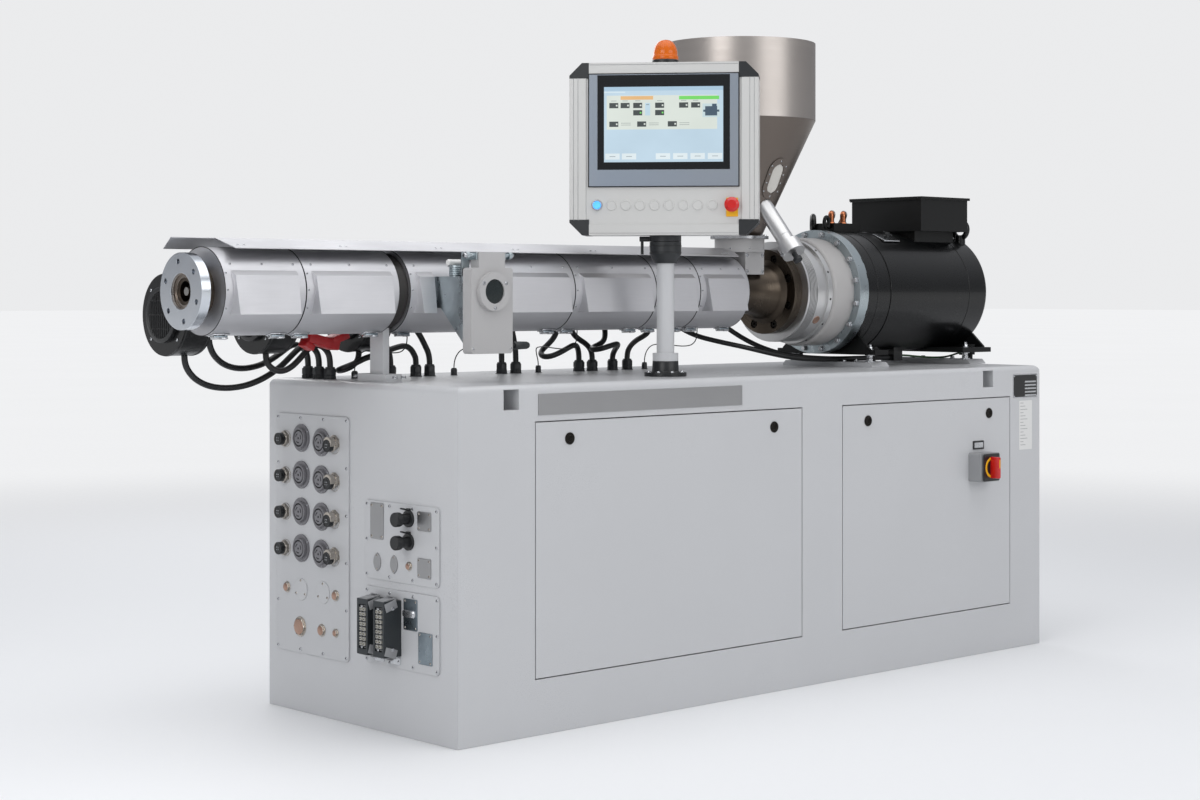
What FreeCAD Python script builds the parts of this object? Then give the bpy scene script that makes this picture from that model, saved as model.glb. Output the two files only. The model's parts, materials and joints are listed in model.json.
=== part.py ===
import FreeCAD, Part
import math
import os
import re
import Sketcher
from FreeCAD import Placement, Rotation, Vector

# Single-screw plastic extruder on a cabinet base. Millimetres.
# Origin: centre of the cabinet's footprint on the floor. +X runs from the die end to the
# motor, the operator stands at -Y, and +Z is up.

SIZES = {
    # cabinet
    "cabinetLength": 2335, "cabinetWidth": 800, "cabinetHeight": 870,
    "cabinetEdgeRadius": 18,
    "panelBottom": 141, "panelTopMargin": 95, "panelThickness": 20, "panelGap": 3,
    "leftPanelInset": 247.5, "leftPanelWidth": 979,
    "panelPostWidth": 174, "rightPanelInset": 154.5,
    "slotWidth": 50, "slotHeight": 50, "slotDepth": 60, "slotTopMargin": 11,
    "leftSlotInset": 143, "rightSlotInset": 237,
    # plates and connectors on the die end of the cabinet
    "endPlateThickness": 4, "endPlateCorner": 14,
    "widePlateInset": 38, "widePlateWidth": 325,
    "widePlateBottom": 154, "widePlateHeight": 625,
    "narrowPlateInset": 67, "narrowPlateWidth": 302,
    "powerPlateBottom": 167, "powerPlateHeight": 193,
    "signalPlateBottom": 380, "signalPlateHeight": 196,
    "socketRadius": 36, "socketFlange": 4, "socketBodyRadius": 26, "socketLength": 11,
    "socketTopDrop": 62, "socketPitchZ": 96, "socketPitchY": 90, "socketStagger": 7,
    "signalNutRadius": 20, "signalNutLength": 9,
    "signalBodyRadius": 16, "signalLength": 26, "signalColumnOffset": 112,
    "signalColumnShift": 8, "signalDrop": 5,
    "hoodWidth": 44, "hoodHeight": 138, "hoodDepth": 54, "hoodWall": 7,
    "hoodPocket": 26, "hoodPitch": 67, "hoodInset": 41, "hoodFloor": 32,
    "capFlangeRadius": 20, "capBodyRadius": 13, "capRadius": 17,
    "capFlange": 5, "capBodyLength": 30, "capLength": 16,
    "capInset": 119, "capTopDrop": 35, "capPitch": 57,
    # barrel line
    "axisRise": 230, "feedFlangeX": 333, "boreRadius": 25, "barrelRadius": 60,
    "dieFlangeRadius": 92.5, "dieFlangeThickness": 25,
    "dieSeatRadius": 43.5, "dieSeatDepth": 10, "dieStepRadius": 37.5, "dieStepDepth": 3,
    "dieHoleRadius": 6.75, "dieHoleCircle": 72.5, "dieHoleAngle": 10,
    "noseLength": 55, "neckLength": 173,
    "neckCollarRadius": 80, "neckCollarLength": 26, "neckWaistRadius": 68,
    "neckRimRadius": 82, "neckRimLength": 15,
    "zoneOne": 231, "zoneTwo": 283, "supportGap": 33, "zoneThree": 280,
    "zoneFour": 281, "zoneFive": 306, "zoneSix": 174, "zoneSeven": 204,
    "shroudRadius": 107, "shroudSeam": 2,
    "hoodInsetX": 20, "hoodTaper": 9, "hoodTopRise": 50, "hoodEdgeRise": 38,
    "hoodBottomDrop": 55, "hoodTopReach": 5, "hoodBottomReach": 21,
    "guardLift": 22, "guardDrop": 25, "guardHalfWidth": 90, "guardThickness": 2,
    "guardStart": 94, "guardOverhang": 121, "guardTaper": 34,
    "guardEnd": 28, "guardEndTaper": 58, "guardLegWidth": 24, "guardLegLength": 30,
    "guardFeedGap": 5,
    "clampRadius": 96, "supportPostWidth": 54, "supportPostThickness": 20,
    "supportFootLength": 50, "supportFootWidth": 120, "supportFootThickness": 20,
    # vent unit
    "ventX": -936, "chuteWidth": 136, "chuteReach": 110, "chuteRise": 38,
    "chuteFloorDrop": 130, "chuteLipDrop": 42, "chuteWall": 3, "ventPortRadius": 22,
    "ventCoverDepth": 33, "ventCoverRise": 60, "ventCoverDrop": 157,
    "ventCoverWall": 3, "ventCoverCorner": 9,
    "ventNeckWidth": 85, "ventHingeRise": 91, "ventHingeReach": 128,
    "ventLugThickness": 4, "ventLugGap": 1.5, "ventLugTop": 8,
    "ventPinRadius": 5, "ventPinClearance": 0.08, "ventPinHead": 9,
    "sightRingRadius": 49.5, "sightGlassRadius": 31, "sightRingThickness": 12,
    "handleRadius": 10.5, "handleLength": 62, "handleStemRadius": 5,
    "handleStemLength": 5, "handleRise": 19,
    # feed and hopper
    "feedX": 228, "throatLength": 80, "throatWidth": 124, "throatGap": 10,
    "throatBottomRise": 51, "throatBoreRadius": 28,
    "feedDiscRadius": 74, "feedDiscThickness": 40,
    "hopperFlangeRadius": 86, "hopperFlangeThickness": 8, "hopperNeckRadius": 66,
    "hopperRadius": 225, "hopperConeHeight": 341, "hopperHeight": 228, "hopperWall": 3,
    "dischargeRadius": 25, "dischargeAngle": 50, "dischargeLength": 140,
    "dischargeRise": 82, "collarRadius": 35, "collarLength": 38,
    "knobStemRadius": 5, "knobStemLength": 34, "knobRadius": 13, "knobLength": 10,
    "knobBodyRadius": 8, "knobBodyLength": 16, "knobClearance": 0.08,
    # drive
    "feedFlangeRadius": 127, "feedFlangeThickness": 33,
    "feedBoltCircle": 105, "feedBoltRadius": 13, "feedBoltDepth": 16,
    "bearingRadius": 151, "bearingLength": 101, "grooveStart": 9, "groovePitch": 6,
    "grooveWidth": 3, "grooveDepth": 3, "bearingStepRadius": 158, "bearingStepLength": 18,
    "gearRadius": 165, "gearLength": 89, "gearCornerRadius": 14,
    "motorFlangeRadius": 190, "motorFlangeThickness": 39,
    "motorRadius": 187, "motorLength": 591, "motorCorner": 14,
    "motorSeamDepth": 2, "motorSeamWidth": 4, "motorFrontSeam": 105, "motorRearSeam": 96,
    "terminalInset": 49, "terminalLength": 234, "terminalWidth": 284,
    "terminalBase": 192, "terminalHeight": 100, "terminalLid": 8, "terminalLidLip": 6,
    "terminalSaddleWidth": 200, "terminalSaddleInset": 20,
    "eyeRingRadius": 27, "eyeWireRadius": 9, "eyeShankRadius": 16, "eyeRise": 40,
    "frontEyeX": 50, "frontEyeY": 80, "rearEyeX": 566, "rearEyeY": -95,
    "manifoldX": 35, "manifoldLength": 125, "manifoldStart": -20, "manifoldWidth": 90,
    "manifoldTop": 213, "elbowRadius": 9, "elbowBend": 16, "elbowRise": 16,
    "elbowPitch": 56, "elbowInset": 38, "elbowY": 25, "elbowAngle": 35,
    "jacketRise": 156,
    "entryX": 267, "entryStart": -66, "entryLength": 42, "entryWidth": 52,
    "entryBottom": 13, "entryHeight": 60, "entryAxis": 23,
    "railLength": 81, "railWidth": 366, "railThickness": 15, "railChamfer": 12,
    "frontRailX": 22, "rearRailX": 502,
    "footPlateWidth": 400, "footPlateThickness": 15, "footPlateGap": 23,
    "frontFootX": 17, "frontFootLength": 62, "rearFootX": 445, "rearFootLength": 144,
    "gussetThickness": 8, "gussetOuter": 178, "gussetInner": 132, "gussetRise": 60,
    "earthLugX": 572, "earthLugY": 92, "earthLugDrop": 12,
    "jackBoltRadius": 8, "jackNutRadius": 15, "jackNutHeight": 9, "jackBoltY": 153,
    # operator panel
    "postX": -315, "postY": -240, "postRadius": 24, "postBaseRadius": 57,
    "postBaseThickness": 10, "postSleeveRadius": 35, "postSleeveHeight": 53,
    "couplingRise": 307, "couplingRadius": 43, "couplingLowRadius": 30,
    "couplingTaper": 26, "couplingHeight": 58, "swivelGap": 1, "swivelHeadHeight": 16,
    "spigotRadius": 18, "spigotLength": 30, "spigotClearance": 0.05, "spigotEndGap": 2,
    "panelAngle": -48.6, "panelWidth": 510, "panelHeight": 465, "panelDepth": 120,
    "panelFrontReach": 70, "panelSideBand": 45, "panelTopBand": 29, "panelRecess": 3,
    "cornerLength": 53, "cornerHeight": 42, "cornerChamfer": 34,
    "bezelWidth": 402, "bezelHeight": 301, "bezelThickness": 6, "bezelBottom": 132,
    "glassWidth": 357, "glassHeight": 255, "glassBottom": 44, "glassThickness": 2,
    "controlRow": 81, "stopX": 184, "stopRadius": 20, "stopLift": 12, "stopHeadLength": 17,
    "stopStemRadius": 9, "stopStemClearance": 0.08, "stopStemLength": 40,
    "stopStemDepth": 46, "buttonX": -180, "buttonRadius": 10.5, "buttonLift": 8,
    "buttonLength": 22, "buttonClearance": 0.08, "buttonDepth": 25,
    "beaconRadius": 36, "beaconHeight": 58, "beaconDomeRadius": 12,
    "beaconBaseRadius": 32, "beaconBaseHeight": 14,
    "leverRise": 7, "leverBossRadius": 7, "leverBossLength": 27, "leverGap": 0.5,
    "leverArmRadius": 4, "leverArmLength": 42,
    # main switch
    "switchInset": 312, "switchHeight": 570, "switchBoxWidth": 94, "switchBoxHeight": 86,
    "switchBoxDepth": 45, "switchBoxCorner": 6, "switchPlateSize": 62,
    "switchPlateThickness": 6, "switchStemRadius": 7, "switchStemClearance": 0.08,
    "switchStemDepth": 20, "switchDialRadius": 25, "switchDialThickness": 10,
    "switchDialGap": 1, "switchGripLength": 66, "switchGripWidth": 20,
    "switchGripDepth": 30,
    # blowers and cables
    "blowerRadius": 102, "blowerWidth": 81, "blowerDrop": 58, "blowerGap": 8,
    "smallBlowerRadius": 78, "smallBlowerDrop": 12,
    "blowerInletLength": 9,
    "blowerMotorLength": 58, "ductHeight": 50, "ductReach": 90,
    "glandRadius": 12.5, "glandHeight": 32, "glandNutRadius": 16, "glandNutHeight": 10,
    "smallGlandRadius": 7, "smallGlandHeight": 20,
    "hoseRadius": 8, "motorHoseRadius": 7.5, "waterHoseRadius": 9,
    "wireRadius": 1.5, "earthRadius": 3,
    # screw
    "screwCoreRadius": 19, "screwTipRadius": 10, "screwTipSetback": 15,
    "screwTipLength": 26, "screwJournalStart": 290, "screwJournalEnd": 400,
    "screwClearance": 0.05,
}

doc = FreeCAD.newDocument("PlasticExtruder")
sheet = doc.addObject("Spreadsheet::Sheet", "Sizes")
for row, (word, value) in enumerate(SIZES.items(), start=1):
    sheet.set(f"A{row}", word)
    sheet.set(f"B{row}", str(value))
    sheet.setAlias(f"B{row}", word)
doc.recompute()

wordPattern = re.compile(r"\b(" + "|".join(SIZES) + r")\b")
nodes = {}

# Places that several pieces share, as expressions in the sheet's words.
top = "cabinetHeight"
axisZ = "(cabinetHeight + axisRise)"
dieEnd = "(-cabinetLength / 2)"
driveEnd = "(cabinetLength / 2)"
front = "(-cabinetWidth / 2)"
back = "(cabinetWidth / 2)"
neckStart = "(feedFlangeX - neckLength)"
zoneWords = ["zoneSeven", "zoneSix", "zoneFive", "zoneFour", "zoneThree", "supportGap",
             "zoneTwo", "zoneOne"]
barrelStart = "(feedFlangeX - neckLength - " + " - ".join(zoneWords) + ")"
dieX = f"({barrelStart} - noseLength)"
bearingX = "(feedFlangeX + feedFlangeThickness)"
gearX = f"({bearingX} + bearingLength)"
motorFlangeX = f"({gearX} + gearLength)"
motorX = f"({motorFlangeX} + motorFlangeThickness)"
footZ = "(cabinetHeight + railThickness + footPlateGap)"
hopperBase = f"({axisZ} + (shroudRadius + throatGap) + feedDiscThickness)"
coneBase = f"({hopperBase} + hopperFlangeThickness)"
couplingZ = "(cabinetHeight + couplingRise)"
headZ = f"({couplingZ} + couplingHeight + swivelGap)"
panelZ = f"({headZ} + swivelHeadHeight)"
plateFace = f"({dieEnd} - endPlateThickness)"
recessY = "(-panelFrontReach + panelRecess)"


def bound(text):
    # The expression with every named size pointing at its cell.
    return wordPattern.sub(r"Sizes.\1", str(text))


def number(text):
    # The present value of an expression.
    result = sheet.evalExpression(bound(text))
    return float(getattr(result, "Value", result))


def bind(piece, **settings):
    for name, text in settings.items():
        piece.setExpression(name, bound(text))
    return piece


def place(piece, x=0, y=0, z=0):
    piece.setExpression("Placement.Base.x", bound(x))
    piece.setExpression("Placement.Base.y", bound(y))
    piece.setExpression("Placement.Base.z", bound(z))
    return piece


def node(name, piece):
    # Makes a finished piece one of the sub-parts that are written out.
    piece.Label = name
    nodes[name] = piece
    return piece


def box(name, x, y, z, length, width, height):
    piece = doc.addObject("Part::Box", name)
    bind(piece, Length=length, Width=width, Height=height)
    return place(piece, x, y, z)


turns = {
    "x": Rotation(Vector(0, 1, 0), 90), "-x": Rotation(Vector(0, 1, 0), -90),
    "y": Rotation(Vector(1, 0, 0), -90), "-y": Rotation(Vector(1, 0, 0), 90),
    "z": Rotation(), "-z": Rotation(Vector(1, 0, 0), 180),
}


def rod(name, along, x, y, z, radius, length):
    piece = doc.addObject("Part::Cylinder", name)
    bind(piece, Radius=radius, Height=length)
    piece.Placement = Placement(Vector(0, 0, 0), turns[along])
    return place(piece, x, y, z)


def cone(name, along, x, y, z, startRadius, endRadius, length):
    piece = doc.addObject("Part::Cone", name)
    bind(piece, Radius1=startRadius, Radius2=endRadius, Height=length)
    piece.Placement = Placement(Vector(0, 0, 0), turns[along])
    return place(piece, x, y, z)


def hexagon(name, along, x, y, z, radius, length):
    piece = doc.addObject("Part::Prism", name)
    piece.Polygon = 6
    bind(piece, Circumradius=radius, Height=length)
    piece.Placement = Placement(Vector(0, 0, 0), turns[along])
    return place(piece, x, y, z)


def fuse(name, pieces):
    piece = doc.addObject("Part::MultiFuse", name)
    piece.Shapes = pieces
    return piece


def cut(name, base, tools):
    piece = doc.addObject("Part::Cut", name)
    piece.Base = base
    piece.Tool = tools[0] if len(tools) == 1 else fuse(name + "Tools", tools)
    return piece


def common(name, first, second):
    piece = doc.addObject("Part::MultiCommon", name)
    piece.Shapes = [first, second]
    return piece


def group(name, pieces):
    # Like pieces that don't touch each other, kept as one sub-part.
    piece = doc.addObject("Part::Compound", name)
    piece.Links = pieces
    return piece


def roundEdges(name, base, radius, wanted):
    # Rounds the edges of base for which wanted(edge) is true.
    doc.recompute()
    size = number(radius)
    chosen = [i for i, edge in enumerate(base.Shape.Edges, start=1) if wanted(edge)]
    piece = doc.addObject("Part::Fillet", name)
    piece.Base = base
    piece.Edges = [(i, size, size) for i in chosen]
    return piece


def runsAlong(direction):
    def wanted(edge):
        first, last = edge.Vertexes[0].Point, edge.Vertexes[-1].Point
        run = last - first
        return run.Length > 0 and abs(abs(run.dot(direction)) - run.Length) < 1e-6
    return wanted


def arcBetween(start, end, radius):
    # An arc from start to end; a positive radius bulges to the left of the run.
    run = end - start
    across = Vector(-run.y, run.x, 0).normalize()
    half = run.Length / 2
    drop = math.sqrt(radius * radius - half * half)
    centre = (start + end) * 0.5 - across * math.copysign(drop, radius)
    first, last = (end, start) if radius > 0 else (start, end)
    angles = [math.atan2(p.y - centre.y, p.x - centre.x) for p in (first, last)]
    circle = Part.Circle(centre, Vector(0, 0, 1), abs(radius))
    return Part.ArcOfCircle(circle, angles[0], angles[1])


def outline(body, name, role, points):
    # A sketch on one of the body's own planes, each corner held by two bound distances.
    # A point's optional third value is the radius of the arc that leads to it.
    sketch = body.newObject("Sketcher::SketchObject", name)
    plane = [f for f in body.Origin.OriginFeatures if f.Role == role][0]
    sketch.AttachmentSupport = [(plane, "")]
    sketch.MapMode = "FlatFace"
    places = [Vector(number(p[0]), number(p[1]), 0) for p in points]
    count = len(points)
    for i in range(count):
        start, end = places[i], places[(i + 1) % count]
        target = points[(i + 1) % count]
        if len(target) == 3:
            sketch.addGeometry(arcBetween(start, end, number(target[2])), False)
        else:
            sketch.addGeometry(Part.LineSegment(start, end), False)
    ends = []
    for i in range(count):
        shape = sketch.Geometry[i]
        forward = shape.StartPoint.distanceToPoint(places[i]) < 1e-6
        ends.append((1, 2) if forward else (2, 1))
    for i in range(count):
        follower = (i + 1) % count
        sketch.addConstraint(
            Sketcher.Constraint("Coincident", i, ends[i][1], follower, ends[follower][0]))
    for i, point in enumerate(points):
        for kind, value, text in (("DistanceX", places[i].x, point[0]),
                                  ("DistanceY", places[i].y, point[1])):
            index = sketch.addConstraint(
                Sketcher.Constraint(kind, -1, 1, i, ends[i][0], value))
            sketch.setExpression(f"Constraints[{index}]", bound(text))
    for i in range(count):
        target = points[(i + 1) % count]
        if len(target) == 3:
            radius = abs(number(target[2]))
            index = sketch.addConstraint(Sketcher.Constraint("Radius", i, radius))
            sketch.setExpression(f"Constraints[{index}]", bound(f"abs({target[2]})"))
    return sketch


def turned(name, along, x, y, z, points):
    # A body of revolution: points are (distance along the axis, radius).
    body = doc.addObject("PartDesign::Body", name)
    if along == "z":
        role, line = "XZ_Plane", "V_Axis"
        points = [(p[1], p[0]) + tuple(p[2:]) for p in points]
    else:
        role, line = ("XZ_Plane" if along == "x" else "YZ_Plane"), "H_Axis"
    sketch = outline(body, name + "Outline", role, points)
    doc.recompute()
    turn = body.newObject("PartDesign::Revolution", name + "Turn")
    turn.Profile = sketch
    turn.ReferenceAxis = (sketch, [line])
    turn.Angle = 360
    return place(body, x, y, z)


def slab(name, role, x, y, z, points, thickness):
    # A straight pad of an outline: XY rises along +Z, YZ runs along +X, XZ along +Y.
    body = doc.addObject("PartDesign::Body", name)
    sketch = outline(body, name + "Outline", role + "_Plane", points)
    doc.recompute()
    pad = body.newObject("PartDesign::Pad", name + "Pad")
    pad.Profile = sketch
    pad.Reversed = role == "XZ"
    pad.setExpression("Length", bound(thickness))
    return place(body, x, y, z)


def ringOfRods(name, x, radius, length, circle, count, firstAngle, skip=()):
    # Rods along +X on a circle about the extruder's axis, the first one at an angle from +Z.
    pieces = []
    for i in range(count):
        if i in skip:
            continue
        angle = f"({firstAngle} + {i} * 360 / {count})"
        y = f"({circle}) * sin({angle} * 1deg)"
        z = f"{axisZ} + ({circle}) * cos({angle} * 1deg)"
        pieces.append(rod(f"{name}{i}", "x", x, y, z, radius, length))
    return pieces


def onPanel(piece):
    # Turns a piece that was built about the post's axis to the operator panel's direction.
    piece.Placement = Placement(Vector(0, 0, 0), Rotation(Vector(0, 0, 1), -1))
    piece.setExpression("Placement.Base.x", bound("postX"))
    piece.setExpression("Placement.Base.y", bound("postY"))
    piece.setExpression("Placement.Rotation.Angle", bound("panelAngle"))
    return piece


# Cabinet.

sides = {"front": (front, front), "back": (back, f"({back} - panelThickness)")}
panelHeightText = "(cabinetHeight - panelBottom - panelTopMargin)"
rightPanelX = f"({dieEnd} + leftPanelInset + leftPanelWidth + panelPostWidth)"
panels = {
    "left": (f"({dieEnd} + leftPanelInset)", "leftPanelWidth"),
    "right": (rightPanelX, f"({driveEnd} - rightPanelInset - {rightPanelX})"),
}


def makeCabinet():
    block = box("cabinetBlock", dieEnd, front, 0,
                "cabinetLength", "cabinetWidth", "cabinetHeight")
    height = number("cabinetHeight")

    def onTop(edge):
        return all(abs(v.Z - height) < 1e-6 for v in edge.Vertexes)

    rounded = roundEdges("cabinetRounded", block, "cabinetEdgeRadius", onTop)
    hollows = []
    for side, (face, recessStart) in sides.items():
        for which, (x, width) in panels.items():
            hollows.append(box(
                f"recess_{side}_{which}", f"{x} - panelGap", recessStart,
                "panelBottom - panelGap", f"{width} + 2 * panelGap", "panelThickness",
                f"{panelHeightText} + 2 * panelGap"))
        slotY = face if side == "front" else f"{back} - slotDepth"
        for which, x in (("left", f"{dieEnd} + leftSlotInset"),
                         ("right", f"{driveEnd} - rightSlotInset - slotWidth")):
            hollows.append(box(
                f"slot_{side}_{which}", x, slotY,
                "cabinetHeight - slotTopMargin - slotHeight",
                "slotWidth", "slotDepth", "slotHeight"))
    node("cabinet", cut("cabinetBody", rounded, hollows))


def makePanels():
    made = {}
    for side, (face, recessStart) in sides.items():
        for which, (x, width) in panels.items():
            made[side, which] = box(f"panel_{side}_{which}", x, recessStart, "panelBottom",
                                    width, "panelThickness", panelHeightText)
    node("front_panels", group("frontPanelPair",
                               [made["front", "left"], made["front", "right"]]))
    node("back_panels", group("backPanelPair", [made["back", "left"], made["back", "right"]]))


# Die end of the cabinet.

wideCentreY = f"({back} - widePlateInset - widePlateWidth / 2)"
narrowStartY = f"({front} + narrowPlateInset)"
narrowEndY = f"({narrowStartY} + narrowPlateWidth)"
signalTop = "(signalPlateBottom + signalPlateHeight)"


def makeEndPlates():
    wide = box("widePlate", plateFace, f"{wideCentreY} - widePlateWidth / 2",
               "widePlateBottom", "endPlateThickness", "widePlateWidth", "widePlateHeight")
    signal = box("signalPlate", plateFace, narrowStartY, "signalPlateBottom",
                 "endPlateThickness", "narrowPlateWidth", "signalPlateHeight")
    power = box("powerPlate", plateFace, narrowStartY, "powerPlateBottom",
                "endPlateThickness", "narrowPlateWidth", "powerPlateHeight")
    rounded = [roundEdges(p.Name + "Rounded", p, "endPlateCorner", runsAlong(Vector(1, 0, 0)))
               for p in (wide, signal, power)]
    node("end_plates", group("endPlateSet", rounded))


def makeSockets():
    large, small = [], []
    for i in range(4):
        rowZ = f"widePlateBottom + widePlateHeight - socketTopDrop - {i} * socketPitchZ"
        for j in range(2):
            y = f"{wideCentreY} + (0.5 - {j}) * socketPitchY"
            z = f"{rowZ} - {j} * socketStagger"
            flange = rod(f"socketFlange{i}{j}", "-x", plateFace, y, z,
                         "socketRadius", "socketFlange")
            body = rod(f"socketBody{i}{j}", "-x", plateFace, y, z,
                       "socketBodyRadius", "socketLength")
            large.append(fuse(f"socket{i}{j}", [flange, body]))
            y = f"{wideCentreY} + signalColumnShift + (1 - 2 * {j}) * signalColumnOffset"
            z = f"{rowZ} - signalDrop"
            nut = hexagon(f"signalNut{i}{j}", "-x", plateFace, y, z,
                          "signalNutRadius", "signalNutLength")
            body = rod(f"signalBody{i}{j}", "-x", plateFace, y, z,
                       "signalBodyRadius", "signalLength")
            small.append(fuse(f"signal{i}{j}", [nut, body]))
    node("heater_sockets", group("heaterSocketSet", large))
    node("signal_sockets", group("signalSocketSet", small))


def makeConnectors():
    hoods = []
    for i in range(2):
        y = f"({narrowEndY} - hoodInset - hoodWidth - {i} * hoodPitch)"
        z = "(powerPlateBottom + hoodFloor)"
        block = box(f"hoodBlock{i}", f"{plateFace} - hoodDepth", y, z,
                    "hoodDepth", "hoodWidth", "hoodHeight")
        pocket = box(f"hoodPocket{i}", f"{plateFace} - hoodDepth", f"{y} + hoodWall",
                     f"{z} + 2 * hoodWall", "hoodPocket", "hoodWidth - 2 * hoodWall",
                     "hoodHeight - 4 * hoodWall")
        hoods.append(cut(f"hood{i}", block, [pocket]))
    for i in range(2):
        y = f"{narrowStartY} + capInset"
        z = f"{signalTop} - capTopDrop - {i} * capPitch"
        hoods.append(fuse(f"cappedConnector{i}", [
            rod(f"capFlange{i}", "-x", plateFace, y, z, "capFlangeRadius", "capFlange"),
            rod(f"capBody{i}", "-x", plateFace, y, z, "capBodyRadius", "capBodyLength"),
            rod(f"capHead{i}", "-x", f"{plateFace} - capBodyLength", y, z,
                "capRadius", "capLength"),
        ]))
    node("power_connectors", group("powerConnectorSet", hoods))


# Barrel line.

def zoneSpans():
    # Name, start and length of each heating zone, from the die end to the feed.
    spans = []
    start = barrelStart
    for word in reversed(zoneWords):
        spans.append((word, start, word))
        start = f"({start} + {word})"
    return spans


def makeBarrel():
    waistX = f"({neckStart} + neckCollarLength)"
    rimX = "(feedFlangeX - neckRimLength)"
    tube = turned("barrelTube", "x", 0, 0, axisZ, [
        (f"{dieX} + dieSeatDepth + dieStepDepth", "boreRadius"),
        ("feedFlangeX", "boreRadius"),
        ("feedFlangeX", "neckRimRadius"),
        (rimX, "neckRimRadius"),
        (waistX, "neckWaistRadius", "240"),
        (waistX, "neckCollarRadius"),
        (neckStart, "neckCollarRadius"),
        (neckStart, "barrelRadius"),
        (f"{dieX} + dieSeatDepth", "barrelRadius"),
        (f"{dieX} + dieSeatDepth", "dieStepRadius"),
        (f"{dieX} + dieSeatDepth + dieStepDepth", "dieStepRadius"),
    ])
    feedHole = rod("feedHole", "z", "feedX", 0, axisZ, "throatBoreRadius", "neckCollarRadius")
    port = rod("ventPort", "-y", "ventX", 0, axisZ, "ventPortRadius", "shroudRadius")
    node("barrel", cut("barrelBody", tube, [feedHole, port]))
    ring = turned("dieFlangeRing", "x", 0, 0, axisZ, [
        (dieX, "dieSeatRadius"), (dieX, "dieFlangeRadius"),
        (f"{dieX} + dieFlangeThickness", "dieFlangeRadius"),
        (f"{dieX} + dieFlangeThickness", "barrelRadius"),
        (f"{dieX} + dieSeatDepth", "barrelRadius"), (f"{dieX} + dieSeatDepth", "dieSeatRadius"),
    ])
    holes = ringOfRods("dieHole", dieX, "dieHoleRadius", "dieFlangeThickness",
                       "dieHoleCircle", 6, "dieHoleAngle")
    node("die_flange", cut("dieFlangeBody", ring, holes))


def zoneHood(index, x, length):
    # The raised sheet box on the operator's side of a zone, its sides drawn in.
    section = slab(f"hoodSection{index}", "YZ", x, 0, axisZ, [
        ("-shroudRadius * 0.6", "hoodTopRise"),
        ("-sqrt(shroudRadius * shroudRadius - hoodTopRise * hoodTopRise)", "hoodTopRise"),
        ("-shroudRadius - hoodTopReach", "hoodEdgeRise"),
        ("-shroudRadius - hoodBottomReach", "-hoodBottomDrop"),
        ("-shroudRadius * 0.6", "-hoodBottomDrop"),
    ], length)
    plan = slab(f"hoodPlan{index}", "XY", x, 0, f"{axisZ} - shroudRadius", [
        (0, "-shroudRadius * 0.5"),
        (0, "-shroudRadius * 0.8"),
        ("hoodTaper", "-shroudRadius - hoodBottomReach"),
        (f"{length} - hoodTaper", "-shroudRadius - hoodBottomReach"),
        (length, "-shroudRadius * 0.8"),
        (length, "-shroudRadius * 0.5"),
    ], "2 * shroudRadius")
    return common(f"hoodBox{index}", section, plan)


def makeShrouds():
    made = []
    for index, (word, start, length) in enumerate(zoneSpans()):
        if word == "supportGap":
            continue
        x = f"({start} + shroudSeam / 2)"
        shell = rod(f"shroudShell{index}", "x", x, 0, axisZ,
                    "shroudRadius", f"{length} - shroudSeam")
        hoodX = f"({start} + hoodInsetX)"
        hoodLength = f"({length} - 2 * hoodInsetX)"
        if word == "zoneThree":
            hoodLength = f"(ventX - chuteWidth / 2 - shroudSeam - {hoodX})"
        core = rod(f"shroudCore{index}", "x", x, 0, axisZ,
                   "barrelRadius", f"{length} - shroudSeam")
        tools = [core]
        if word == "zoneThree":
            tools.append(rod("shroudPort", "-y", "ventX", 0, axisZ,
                             "ventPortRadius", "shroudRadius"))
        raised = fuse(f"shroudRaised{index}", [shell, zoneHood(index, hoodX, hoodLength)])
        made.append(cut(f"shroud{index}", raised, tools))
    node("heater_shrouds", group("shroudSet", made))


def makeHeatGuard():
    farStart = f"({barrelStart} + guardStart - 55 - guardOverhang)"
    nearStart = f"({barrelStart} + guardStart - 55)"
    end = f"({neckStart} + guardEnd)"
    ridge = f"({axisZ} + shroudRadius + guardLift)"
    section = slab("guardSection", "YZ", farStart, 0, ridge, [
        ("-guardHalfWidth", "-guardDrop"), (0, 0), ("guardHalfWidth", "-guardDrop"),
        ("guardHalfWidth", "-guardDrop - guardThickness"), (0, "-guardThickness"),
        ("-guardHalfWidth", "-guardDrop - guardThickness"),
    ], f"{end} - {farStart}")
    plan = slab("guardPlan", "XY", 0, 0, f"{ridge} - 2 * guardDrop", [
        (farStart, 0), (nearStart, 0), (nearStart, "-guardHalfWidth"),
        (f"{end} - guardEndTaper", "-guardHalfWidth"), (end, 0), (end, "guardHalfWidth"),
        (f"{farStart} + guardTaper", "guardHalfWidth"),
    ], "3 * guardDrop")
    sheetPiece = common("guardSheet", section, plan)
    legs = []
    for i, (word, start, length) in enumerate(zoneSpans()):
        if word == "supportGap":
            continue
        leg = box(f"guardLeg{i}", f"{start} + {length} / 2 - guardLegLength / 2",
                  "-guardLegWidth / 2", f"{axisZ} + shroudRadius - 3", "guardLegLength",
                  "guardLegWidth", "guardLift + 3 - guardThickness * 2")
        legs.append(leg)
    legs.append(sheetPiece)
    shroudLine = rod("guardSeat", "x", barrelStart, 0, axisZ, "shroudRadius",
                     f"feedFlangeX - {barrelStart}")
    feedRoom = rod("guardFeedRoom", "z", "feedX", 0, axisZ,
                   "feedDiscRadius + guardFeedGap", "2 * (shroudRadius + guardLift)")
    node("heat_guard", cut("heatGuardBody", fuse("guardAndLegs", legs),
                           [shroudLine, feedRoom]))


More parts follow.
